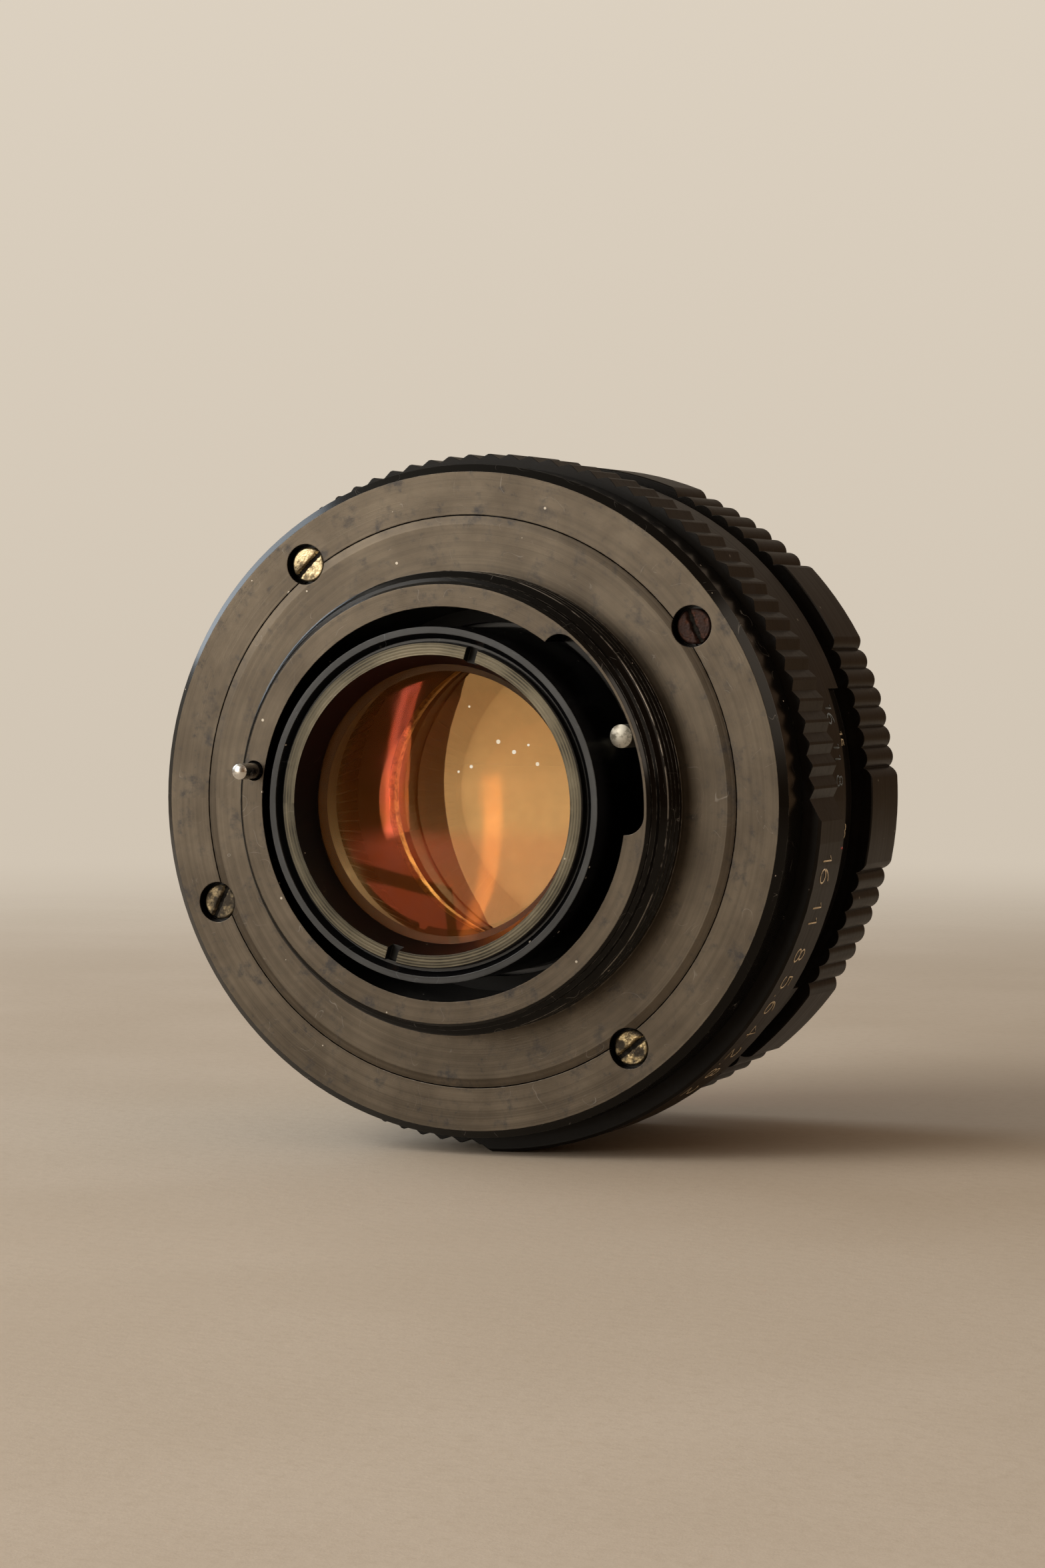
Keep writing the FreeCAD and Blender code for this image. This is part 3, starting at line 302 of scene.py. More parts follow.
def anodised(name, base, bright, rough, marks=1.0, smudge=0.5, wear=0.5, dust=1.0, metal=0.0, pitch=0.0,
             gleam=0.5, bare=(0.42, 0.40, 0.37), walls=None, shown=(), crest=None):
    """Black anodised aluminium: turning marks, cloudy stains, dust and edges worn to bare metal.

    walls is the (colour, roughness, gleam) of everything but the axial faces between the shown limits in y;
    the step of the seating disc keeps the look of those faces. crest is the (low, high) radius of the rubbed
    thread crests, and needs walls."""
    g = Graph(name)
    fine = g.turning(TURNING_PER_MM)
    broad = g.turning(TURNING_PER_MM * 0.22, 0.25)
    if pitch:
        fine = g.plus(g.times(g.lines(pitch), 0.55), g.times(fine, 0.45))
    cloud = g.noise(g.place(), 0.16, 5.0, 0.6)
    stain = stains(g, cloud)
    edge, rounded = g.edges(0.09, wear)
    tone = g.mix(g.ramp(cloud, 0.3, 0.7), base, bright)
    tone = g.mix(g.times(g.ramp(fine, 0.3, 0.8), 0.5 * marks, clamp=True), tone, bright)
    furrow = g.times(g.ramp(broad, 0.65, 0.3), 0.35 * marks, clamp=True)
    tone = g.mix(furrow, tone, tuple(0.55 * c for c in base))
    tone = g.mix(g.times(stain, smudge), tone, STAIN_COLOR)
    shine = g.plus(rough, g.times(g.minus(fine, 0.5), 0.22 * marks))
    shine = g.plus(shine, g.times(g.minus(broad, 0.5), 0.16))
    shine = g.plus(shine, g.times(stain, 0.10 * smudge), clamp=True)
    metallic, relief = metal, 1.0
    if walls:
        wall_color, wall_rough, wall_gleam = walls
        radius, _, y = g.lathe()
        worn = worn_faces(g, radius, y, shown)
        tone = g.mix(worn, wall_color, tone)
        shine = g.plus(g.times(worn, shine), g.times(g.minus(1.0, worn), wall_rough))
        metallic, relief = g.times(worn, metal), worn
        gleam = g.plus(g.times(worn, gleam - wall_gleam), wall_gleam)
    if crest:
        edge = g.math("MAXIMUM", edge, rubbed_crests(g, radius, y, crest, worn))
    speck = g.times(g.specks(0.55, 0.075, 3.1), dust)
    tone = g.mix(speck, tone, DUST_COLOR)
    tone = g.mix(edge, tone, bare)
    tone = g.mix(g.times(scratches(g), 0.25 * wear), tone, bare)
    normal = g.bump(fine, 0.006 * marks, relief, rounded)
    normal = g.bump(speck, 0.02, 1.0, normal)
    metallic = g.math("MAXIMUM", metallic, g.times(edge, 0.9), clamp=True)
    return g.done(g.principled(Base_Color=tone, Roughness=shine, Metallic=metallic, Normal=normal,
                               Specular_IOR_Level=gleam))


def bare_metal(name, color, dark, rough, patina, crust=0.0, per_mm=7.0, grain=1.3):
    """Bare metal with turning marks, tarnish in patches and, if asked, a rough crust."""
    g = Graph(name)
    fine = g.turning(per_mm)
    patch = g.ramp(g.noise(g.place(), grain, 6.0, 0.7), 0.62 - 0.5 * patina, 0.72 - 0.25 * patina)
    pits = g.noise(g.place(), 9.0, 5.0, 0.7)
    edge, rounded = g.edges(0.06, 0.6)
    tone = g.mix(patch, color, dark)
    tone = g.mix(g.times(g.ramp(pits, 0.55, 0.8), 0.5), tone, dark)
    tone = g.mix(edge, tone, color)
    shine = g.plus(rough, g.times(patch, 0.3), clamp=True)
    normal = g.bump(fine, 0.004, 1.0, rounded)
    normal = g.bump(pits, 0.015 + 0.05 * crust, 0.6, normal)
    metallic = g.minus(1.0, g.times(patch, 0.35 + 0.6 * crust), clamp=True)
    return g.done(g.principled(Base_Color=tone, Roughness=shine, Metallic=metallic, Normal=normal))


def paint(name, color, chip, gleam=0.5):
    """Filled engraving paint, aged and chipped; also the painted shade at the bottom of screw slots."""
    g = Graph(name)
    grain = g.noise(g.place(), 4.0, 5.0, 0.7)
    tone = g.mix(g.ramp(grain, 0.35, 0.75), color, tuple(0.55 * c for c in color))
    chipped = g.ramp(g.noise(g.place(), 2.3, 4.0, 0.6), 1.0 - chip, 1.02 - chip)
    tone = g.mix(chipped, tone, (0.02, 0.018, 0.015))
    return g.done(g.principled(Base_Color=tone, Roughness=0.6, Normal=g.bump(grain, 0.01, 0.7),
                               Specular_IOR_Level=gleam))


# ---- glass materials ----
REAL_INDEX = 1.62
MIRROR_LIMIT = 0.35
INNER_GAIN = 0.5
# A window painted into the glass's reflections, low beside the lens, in mirrored directions: its soft upper
# and left ends, a sloping dark bar and a dark upright bar. Half widths run from where a bar starts to show to
# where it is full.
WINDOW_TOP_Z, WINDOW_LEFT_X = (-0.12, -0.24), (-0.86, -0.62)
BAR_X, BAR_Z, BAR_SLOPE, BAR_HALF, BAR_END_X = -0.5, 0.39, 0.33, (0.040, 0.022), -0.33
UPRIGHT_X, UPRIGHT_HALF, UPRIGHT_TOP_Z = -0.350, (0.030, 0.016), -0.44
# The dust that shows on the rear glass lies in a round cloud, in millimetres; its specks glow as painted
# light.
CLOUD_X, CLOUD_Z, CLOUD_REACH = 5.0, 6.0, 4.6
DUST_GLOW_COLOR = (1.0, 0.88, 0.70)


def mirrored(g):
    """The direction a surface mirrors towards the viewer."""
    back = g.node("VectorMath", {0: g.node("NewGeometry", out="Incoming"), 3: -1.0}, operation="SCALE")
    return g.node("VectorMath", {0: back, 1: g.node("NewGeometry", out="Normal")}, operation="REFLECT")


def painted_window_bars(g, x, z):
    """1 on the dark bars of the painted window reflection."""
    sloped = g.plus(g.times(g.minus(x, BAR_X), BAR_SLOPE), BAR_Z)
    across = g.math("ABSOLUTE", g.plus(z, sloped))
    across = g.times(g.ramp(across, *BAR_HALF), g.math("LESS_THAN", x, BAR_END_X))
    upright = g.ramp(g.math("ABSOLUTE", g.minus(x, UPRIGHT_X)), *UPRIGHT_HALF)
    upright = g.times(upright, g.math("LESS_THAN", z, UPRIGHT_TOP_Z))
    return g.math("MAXIMUM", across, upright)


def painted_window_reflection(g):
    """0 to 1 where an outer face shows the painted reflection of a window, which no lamp or object in the
    scene makes.
    """
    x, _, z = g.split(mirrored(g))
    lit = g.minus(g.ramp(z, *WINDOW_TOP_Z), g.times(painted_window_bars(g, x, z), 0.9), clamp=True)
    lit = g.times(lit, g.ramp(x, *WINDOW_LEFT_X))
    return g.times(lit, g.minus(1.0, g.node("NewGeometry", out="Backfacing")))


def dust_cloud(g, size):
    """1 on the dust specks inside the cloud."""
    x, _, z = g.split(g.place())
    reach = g.length(g.minus(x, CLOUD_X), g.minus(z, CLOUD_Z))
    return g.times(g.specks(0.80, size, 7.7), g.math("LESS_THAN", reach, CLOUD_REACH))


def coated_glass(name, bend, tint, coat, other, strength, blur, dusty=0.0, low_gain=0.0, inner=None):
    """Coated optical glass: tinted refraction under a coloured reflection; shadow rays pass.

    bend is the index the look bends light with; the reflection keeps the index of real glass.
    low_gain adds a painted reflection of a window below the horizon; inner is the colour mirrored back
    inside."""
    g = Graph(name)
    smear = g.noise(g.place(), 0.35, 4.0, 0.6)
    color = g.mix(g.ramp(smear, 0.3, 0.7), coat, other)
    gain = strength
    # Painted reflection: the glass mirrors more where the painted window lies.
    if low_gain:
        gain = g.plus(strength, g.times(painted_window_reflection(g), low_gain))
    if inner:
        inside = g.node("NewGeometry", out="Backfacing")
        color = g.mix(inside, color, inner)
        gain = g.plus(gain, g.times(inside, INNER_GAIN))
    facing = g.node("Fresnel", {"IOR": REAL_INDEX})
    reflect = g.math("MINIMUM", g.times(facing, gain), MIRROR_LIMIT)
    bent = g.node("BsdfRefraction", {"Color": tint, "Roughness": 0.0, "IOR": bend})
    shine = g.node("BsdfGlossy", {"Color": color, "Roughness": g.ramp(smear, 0.3, 0.8, 0.4 * blur, blur)})
    body = g.blend(reflect, bent, shine)
    if dusty:
        # Painted light: the dust specks glow as if lit, though they are no lamp.
        painted_dust_glow = g.node("Emission", {"Color": DUST_GLOW_COLOR, "Strength": 0.8})
        body = g.blend(dust_cloud(g, dusty), body, painted_dust_glow)
    clear = g.node("BsdfTransparent", {"Color": tuple(0.75 * c for c in tint)})
    is_shadow = g.node("LightPath", out="Is Shadow Ray")
    g.material.cycles.emission_sampling = "NONE"
    return g.done(g.blend(is_shadow, body, clear))


def cement(name):
    """The cemented face between two glasses: light goes straight on."""
    g = Graph(name)
    haze = g.ramp(g.noise(g.place(), 0.8, 3.0, 0.5), 0.3, 0.8, 0.97, 1.0)
    return g.done(g.node("BsdfTransparent", {"Color": g.combine(haze, haze, haze)}))


# ---- the materials ----
GLOSS = ((0.0025, 0.0022, 0.0019), 0.18, 0.22)
FLANGE = anodised("flange_anodised", (0.072, 0.057, 0.041), (0.128, 0.104, 0.076), 0.38, smudge=0.75,
                  wear=0.8, metal=0.75, walls=GLOSS, shown=((-5.70, -5.60), (-0.05, 0.25)),
                  crest=(20.96, 21.05))
BLACK = anodised("black_anodised", (0.0035, 0.0029, 0.0023), (0.008, 0.0062, 0.0046), 0.34, marks=0.7,
                 smudge=0.2, wear=0.12, dust=0.25, gleam=0.14, bare=(0.12, 0.09, 0.065))
ENAMEL = anodised("black_enamel", (0.006, 0.0057, 0.0054), (0.012, 0.011, 0.010), 0.55, marks=0.5, smudge=0.1,
                  wear=0.10, dust=0.3)
CELL = anodised("cell_anodised", (0.020, 0.021, 0.022), (0.046, 0.048, 0.050), 0.32, wear=0.30, metal=0.5,
                bare=(0.42, 0.47, 0.53), walls=((0.004, 0.004, 0.0045), 0.20, 0.4), shown=((-7.85, -7.75),))
RETAINER = anodised("retainer_anodised", (0.018, 0.0155, 0.010), (0.150, 0.130, 0.088), 0.36, marks=1.8,
                    smudge=0.1, wear=0.4, metal=0.7, pitch=0.27, walls=((0.0015, 0.0013, 0.0011), 0.45, 0.3),
                    shown=((-8.0, -7.9),))
EDGE_BLACK = anodised("edge_blackening", (0.004, 0.004, 0.004), (0.010, 0.009, 0.008), 0.7, marks=0.2,
                      smudge=0.0, wear=0.0, dust=0.0)
ALUMINIUM = bare_metal("machined_aluminium", (0.62, 0.61, 0.58), (0.30, 0.28, 0.24), 0.32, 0.25)
BRASS = bare_metal("greased_brass", (0.62, 0.42, 0.16), (0.22, 0.14, 0.06), 0.34, 0.35)
STEEL = bare_metal("turned_steel", (0.72, 0.70, 0.66), (0.36, 0.33, 0.29), 0.26, 0.2)
SPRING = bare_metal("spring_steel", (0.48, 0.47, 0.46), (0.16, 0.15, 0.14), 0.28, 0.3)
BLADE = bare_metal("blackened_blade_steel", (0.050, 0.050, 0.052), (0.025, 0.024, 0.023), 0.36, 0.3)
SCREW_BRASS = bare_metal("screw_brass", (0.66, 0.54, 0.33), (0.16, 0.125, 0.075), 0.36, 0.42, 0.25, grain=0.9)
SCREW_PATCHY = bare_metal("screw_patchy", (0.62, 0.49, 0.27), (0.050, 0.040, 0.028), 0.38, 0.50, 0.3,
                          grain=1.0)
SCREW_DARK = bare_metal("screw_tarnished", (0.50, 0.40, 0.24), (0.050, 0.040, 0.028), 0.42, 0.66, 0.4,
                        grain=0.8)
SCREW_RUST = bare_metal("screw_rusted", (0.115, 0.042, 0.022), (0.030, 0.010, 0.006), 0.38, 0.70, 0.9)
# Painted shade for the bottom of the screw slots.
SLOT_SHADE = paint("slot_painted_shade", (0.008, 0.006, 0.004), 0.5, 0.1)
PIN = bare_metal("pin_steel", (0.46, 0.44, 0.38), (0.22, 0.21, 0.17), 0.46, 0.3, per_mm=5.0)
IVORY = paint("ivory_paint", (0.58, 0.46, 0.30), 0.36)
GREEN = paint("dark_green_paint", (0.010, 0.013, 0.008), 0.30)
RED = paint("red_paint", (0.30, 0.022, 0.014), 0.33)
CEMENT = cement("cement")
AMBER = (1.0, 0.94, 0.84)
# The rear glass carries the painted window reflection and dust specks that glow as painted light.
REAR_GLASS = coated_glass("glass_rear", 1.5, (1.0, 0.95, 0.86), coat=(1.0, 0.17, 0.07),
                          other=(1.0, 0.22, 0.14), strength=0.3, blur=0.13, dusty=0.16, low_gain=3.8,
                          inner=(1.0, 0.36, 0.06))
REAR_PAIR_GLASS = coated_glass("glass_rear_pair", 1.02, AMBER, coat=(1.0, 0.38, 0.12),
                               other=(1.0, 0.30, 0.22), strength=0.4, blur=0.05)
FRONT_PAIR_GLASS = coated_glass("glass_front_pair", 1.02, AMBER, coat=(1.0, 0.50, 0.15),
                                other=(1.0, 0.4, 0.2), strength=0.4, blur=0.05)
FRONT_GLASS = coated_glass("glass_front", 1.02, (1.0, 0.96, 0.88), coat=(1.0, 0.45, 0.14),
                           other=(0.75, 0.4, 0.9), strength=0.6, blur=0.03)

FINISHES = {
    FLANGE: ("mount_plate", "rear_cover_ring"),
    BLACK: ("aperture_ring", "depth_scale_ring", "focus_ring", "front_barrel", "main_barrel"),
    CELL: ("rear_cell",),
    RETAINER: ("rear_retaining_ring",),
    ENAMEL: ("front_trim_ring", "front_retaining_ring", "front_cell", "front_spacer", "rear_spacer",
             "iris_base_plate", "stop_down_ring"),
    ALUMINIUM: ("helicoid_retaining_ring", "lens_barrel"),
    BRASS: ("helicoid_ring", "guide_keys", "aperture_coupling_arm", "lever_bracket", "iris_drive_ring",
            "sensing_pin_plug"),
    STEEL: ("mount_screws", "depth_ring_set_screws", "guide_key_screws", "click_ball", "lever", "lever_pivot",
            "bracket_screw", "stop_ring_screws", "spring_post", "sensing_pin", "focus_ring_screws",
            "front_barrel_screws"),
    PIN: ("stop_down_pin",),
    SPRING: ("click_spring", "return_spring", "sensing_pin_spring"),
    BLADE: tuple(f"iris_blade_{i}" for i in range(1, 7)),
}
for finish, names in FINISHES.items():
    for name in names:
        NODES[name].data.materials.clear()
        NODES[name].data.materials.append(finish)


# ---- glass shapes ----
GLASS_SEGMENTS, GLASS_RINGS = 160, 22
OUTER, CEMENTED, RIM = 0, 1, 2
CEMENT_GAP = 0.006
HOLLOW_R = 9.8


def sag(radius, r):
    """How far a spherical surface has moved along +Y at a radius, by its signed curvature."""
    return radius - math.copysign(math.sqrt(radius * radius - r * r), radius)


def dome(verts, faces, vertex, radius, clear):
    """Adds one spherical face of a lens element; returns the first vertex of its rim."""
    apex = len(verts)
    verts.append(Vector((0.0, vertex, 0.0)) * MM)
    for j in range(1, GLASS_RINGS + 1):
        r = clear * j / GLASS_RINGS
        for k in range(GLASS_SEGMENTS):
            verts.append(polar(r, 360.0 * k / GLASS_SEGMENTS, vertex + sag(radius, r)))
    return cap(faces, apex, GLASS_RINGS, GLASS_SEGMENTS)


def lens_element(name, rear, front, materials, body):
    """A lens element with smooth spherical faces; a side is (vertex y, signed radius, clear radius, slot)."""
    verts, faces, slots, rims = [], [], [], []
    for vertex, radius, clear, slot in (rear, front):
        rims.append(dome(verts, faces, vertex, radius, clear))
        slots += [slot] * (len(faces) - len(slots))
    edge_r = max(rear[2], front[2])
    loops = [rims[0]]
    for vertex, radius, clear, _ in (rear, front):
        if clear < edge_r:
            loops.append(len(verts))
            y = vertex + sag(radius, clear)
            verts.extend(polar(edge_r, 360.0 * k / GLASS_SEGMENTS, y) for k in range(GLASS_SEGMENTS))
    loops.append(rims[1])
    for a, b in zip(loops, loops[1:]):
        bridge(faces, a, b, GLASS_SEGMENTS)
    slots += [RIM] * (len(faces) - len(slots))
    made = new_mesh(name, verts, faces)
    for material in materials:
        made.data.materials.append(material)
    for polygon, slot in zip(made.data.polygons, slots):
        polygon.material_index = slot
        polygon.use_smooth = slot != RIM
    outward(made)
    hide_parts(name)
    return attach(made, body)


# Name, rear face, front face, hollow side and glass; a face is (vertex y, signed radius, slot).
ELEMENTS = (
    ("rear_element", (-6.95, 38.0, OUTER), (-2.65, -120.0, OUTER), None, REAR_GLASS),
    ("rear_pair_positive", (-2.3, 21.0, OUTER), (5.1 - CEMENT_GAP, -90.0, CEMENTED), None, REAR_PAIR_GLASS),
    ("rear_pair_negative", (5.1, -90.0, CEMENTED), (6.7, 15.0, OUTER), "front", REAR_PAIR_GLASS),
    ("front_pair_negative", (19.2, -14.0, OUTER), (21.2 - CEMENT_GAP, -90.0, CEMENTED), "rear",
     FRONT_PAIR_GLASS),
    ("front_pair_positive", (21.2, -90.0, CEMENTED), (27.6, -20.5, OUTER), None, FRONT_PAIR_GLASS),
    ("front_element", (27.9, -140.0, OUTER), (32.7, -38.0, OUTER), None, FRONT_GLASS),
)
GLASS_PIECES = {}
for name, rear, front, hollow, glass in ELEMENTS:
    edge_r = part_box(name)[1][0] / MM
    rear_r = HOLLOW_R if hollow == "rear" else edge_r
    front_r = HOLLOW_R if hollow == "front" else edge_r
    sides = ((*rear[:2], rear_r, rear[2]), (*front[:2], front_r, front[2]))
    GLASS_PIECES[name] = lens_element(name, *sides, (glass, CEMENT, EDGE_BLACK), "lens_block")


# ---- engraved figures ----
def arc(cx, cy, rx, ry, start, end, steps=14):
    """Points of an elliptical arc between two angles."""
    turns = [math.radians(start + (end - start) * i / steps) for i in range(steps + 1)]
    return [(cx + rx * math.cos(t), cy + ry * math.sin(t)) for t in turns]


# Single-line figures as an engraver cuts them: strokes in a box 1 high and FIGURE_WIDTH wide, if WIDTHS
# does not give another width. "o" is the infinity sign.
STROKES = {
    "0": [arc(0.3, 0.5, 0.26, 0.5, 90, 450, 24)],
    "1": [[(0.14, 0.80), (0.32, 1.0), (0.32, 0.0)]],
    "2": [arc(0.3, 0.74, 0.26, 0.26, 165, -38) + [(0.03, 0.0), (0.58, 0.0)]],
    "3": [arc(0.28, 0.76, 0.24, 0.24, 150, -80), arc(0.28, 0.26, 0.28, 0.26, 95, -150)],
    "4": [[(0.44, 0.0), (0.44, 1.0), (0.02, 0.28), (0.60, 0.28)]],
    "5": [[(0.52, 1.0), (0.12, 1.0), (0.07, 0.56)] + arc(0.28, 0.32, 0.28, 0.32, 125, -150)],
    "6": [arc(0.3, 0.29, 0.27, 0.29, 160, 520, 24), arc(0.62, 0.36, 0.59, 0.64, 178, 100)],
    "7": [[(0.03, 1.0), (0.57, 1.0), (0.22, 0.0)]],
    "8": [arc(0.3, 0.76, 0.22, 0.24, -90, 270, 20), arc(0.3, 0.26, 0.27, 0.26, 90, 450, 20)],
    ".": [[(0.08, 0.0), (0.08, 0.05)]],
    "R": [[(0.04, 0.0), (0.04, 1.0), (0.26, 1.0)] + arc(0.28, 0.75, 0.26, 0.25, 90, -90) + [(0.04, 0.5)],
          [(0.28, 0.5), (0.56, 0.0)]],
    "o": [arc(0.25, 0.5, 0.25, 0.22, 0, 360, 20), arc(0.75, 0.5, 0.25, 0.22, 180, 540, 20)],
    "f": [[(0.1, 0.0), (0.1, 0.75)] + arc(0.3, 0.75, 0.2, 0.25, 180, 60, 8), [(0.0, 0.6), (0.32, 0.6)]],
    "t": [[(0.16, 1.0), (0.16, 0.12), (0.3, 0.0)], [(0.0, 0.6), (0.34, 0.6)]],
    "m": [[(0.0, 0.0), (0.0, 0.6)] + arc(0.16, 0.44, 0.16, 0.16, 180, 0, 8) + [(0.32, 0.0)],
          [(0.32, 0.44)] + arc(0.48, 0.44, 0.16, 0.16, 180, 0, 8) + [(0.64, 0.0)]],
}
WIDTHS = {".": 0.18, "o": 1.0, "f": 0.36, "t": 0.36, "m": 0.66, "1": 0.42}
FIGURE_WIDTH, FIGURE_GAP = 0.6, 0.2
LINE_HALF_HEIGHT = 0.02  # how far the filling stands above and below the surface, in millimetres


def engraved_line(verts, faces, path, half_width, put):
    """A filled engraved line: a flat oval bar swept along a path in the plane, laid on by put()."""
    section = 8
    first = len(verts)
    for i, p in enumerate(path):
        before, after = path[max(i - 1, 0)], path[min(i + 1, len(path) - 1)]
        direction = Vector((after[0] - before[0], after[1] - before[1])).normalized()
        for k in range(section):
            a = 2 * math.pi * k / section
            side = half_width * math.cos(a)
            rise = LINE_HALF_HEIGHT * math.sin(a)
            verts.append(put(p[0] - direction.y * side, p[1] + direction.x * side, rise))
    for i in range(len(path) - 1):
        a = first + i * section
        for k in range(section):
            n = (k + 1) % section
            faces.append((a + k, a + n, a + section + n, a + section + k))
    faces.append(tuple(first + k for k in range(section)))
    last = first + (len(path) - 1) * section
    faces.append(tuple(last + k for k in reversed(range(section))))


def on_cylinder(radius, phi, foot):
    """Lays a flat drawing on a cylinder: u to the right, v towards +Y and h outwards, in millimetres."""
    return lambda u, v, h: polar(radius + h, phi - math.degrees(u / radius), foot + v)


def figures(name, labels, radius, height, line, material, body):
    """Figures laid round a cylinder, tops to +Y. Each label is (text, polar angle, y of its foot)."""
    verts, faces = [], []
    for text, phi, foot in labels:
        put = on_cylinder(radius, phi, foot)
        width = sum(WIDTHS.get(c, FIGURE_WIDTH) for c in text) + FIGURE_GAP * (len(text) - 1)
        cursor = -width / 2
        for c in text:
            for stroke in STROKES[c]:
                path = [((cursor + x) * height, y * height) for x, y in stroke]
                engraved_line(verts, faces, path, line / 2, put)
            cursor += WIDTHS.get(c, FIGURE_WIDTH) + FIGURE_GAP
    made = outward(new_mesh(name, verts, faces))
    made.data.materials.append(material)
    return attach(made, body)


# The stops are one click apart; the depth marks lie on both sides of the index.
APERTURE_LAND_R, APERTURE_FOOT_Y, APERTURE_START, CLICK = 32.49, 6.6, -10.2, 7.33
STOPS = ("16", "11", "8", "5.6", "4", "2.8", "2")
stop_labels = [(text, APERTURE_START - CLICK * i, APERTURE_FOOT_Y) for i, text in enumerate(STOPS)]
figures("aperture_numerals", stop_labels, APERTURE_LAND_R, 2.35, 0.17, IVORY, "aperture_ring")
DEPTH_R, DEPTH_FOOT_Y = 30.85, 14.5
DEPTH_MARKS = (("16", 15.1), ("11", 8.5), ("8", 3.4), ("4", -2.9), ("8", -19.9), ("11", -24.5), ("16", -31.0))
depth_labels = [(text, phi, DEPTH_FOOT_Y) for text, phi in DEPTH_MARKS]
figures("depth_numerals", depth_labels, DEPTH_R, 1.7, 0.20, GREEN, "barrel")
figures("infrared_mark", [("R", -13.6, 14.9)], DEPTH_R, 1.3, 0.17, RED, "barrel")
DISTANCE_R, DISTANCE_START, DISTANCE_STEP = 29.4, -6.0, 17.0
METRES = ("o", "15", "5", "3", "2", "1.5", "1.2", "1", "0.8", "0.7", "0.6", "0.5", "m")
FEET = ("o", "50", "15", "10", "7", "5", "4", "3.5", "3", "2.5", "2", "", "ft")
for unit, texts, foot, material in (("metres", METRES, 21.0, IVORY), ("feet", FEET, 18.6, RED)):
    labels = [(text, DISTANCE_START + DISTANCE_STEP * i, foot) for i, text in enumerate(texts)]
    figures(f"distance_numerals_{unit}", labels, DISTANCE_R, 1.3, 0.15, material, "focus_ring")


def index_diamond():
    """The red index: a small diamond and a line on to the depth ring's front edge."""
    phi, middle_y, half_u, half_v = -8.2, 15.9, 0.50, 0.65
    put = on_cylinder(DEPTH_R, phi, middle_y)
    corners = ((0, -half_v), (half_u, 0), (0, half_v), (-half_u, 0))
    verts = [put(u, v, h) for h in (-LINE_HALF_HEIGHT, LINE_HALF_HEIGHT) for u, v in corners]
    faces = [(0, 1, 2, 3), (7, 6, 5, 4)]
    faces.extend((k, (k + 1) % 4, 4 + (k + 1) % 4, 4 + k) for k in range(4))
    engraved_line(verts, faces, [(0.0, 0.6), (0.0, 1.18)], 0.10, put)
    made = outward(new_mesh("index_diamond", verts, faces, smooth=False))
    made.data.materials.append(RED)
    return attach(made, "barrel")


index_diamond()


# ---- mount screws ----
SCREW_CIRCLE_R = 27.05
HEAD_R, HEAD_H, HEAD_CHAMFER = 1.58, 0.9, 0.12
# Slot faces deeper than the last of these depths below the top are painted dark as shade.
SLOT_HALF, SLOT_DEPTH, SHADE_DEPTH = 0.25, 0.42, 0.24
SHANK_R, GROOVE_R, PITCH, GROOVES_END_Y = 0.8, 0.66, 0.4, 7.4
SCREW_SEGMENTS, SCREW_RINGS = 96, 34


def head_drop(x, z, turn, wear, seed):
    """How far a worn head lies below its flat top at a place from its middle, in millimetres."""
    r = math.hypot(x, z)
    across = -x * math.sin(turn) + z * math.cos(turn)
    rough = noise.noise(Vector((x * 2.2, z * 2.2, seed)))
    fine = noise.noise(Vector((x * 7.0, z * 7.0, seed + 9.0)))
    half = SLOT_HALF + 0.09 * wear * rough
    inside = min(max((half - abs(across)) / 0.05 + 0.5, 0.0), 1.0)
    lip = 0.05 * wear * math.exp(-((abs(across) - half) / 0.12) ** 2)
    rim = max(0.0, r - (HEAD_R - HEAD_CHAMFER))
    low = 0.02 * r * r / HEAD_R + rim + lip + wear * (0.05 * abs(rough) + 0.03 * fine)
    return low * (1 - inside) + (SLOT_DEPTH + 0.05 * wear * rough) * inside


def shank_profile(neck_y):
    """(radius, y) down a screw from under its head to its tip, with grooves in place of a thread."""
    profile = [(HEAD_R, neck_y), (SHANK_R, neck_y)]
    y = neck_y + 0.3
    while y < GROOVES_END_Y:
        profile += [(SHANK_R, y), (GROOVE_R, y + PITCH / 2), (SHANK_R, y + PITCH)]
        y += PITCH
    return profile + [(SHANK_R, 7.8), (0.5, 7.94), (0.0, 7.95)]


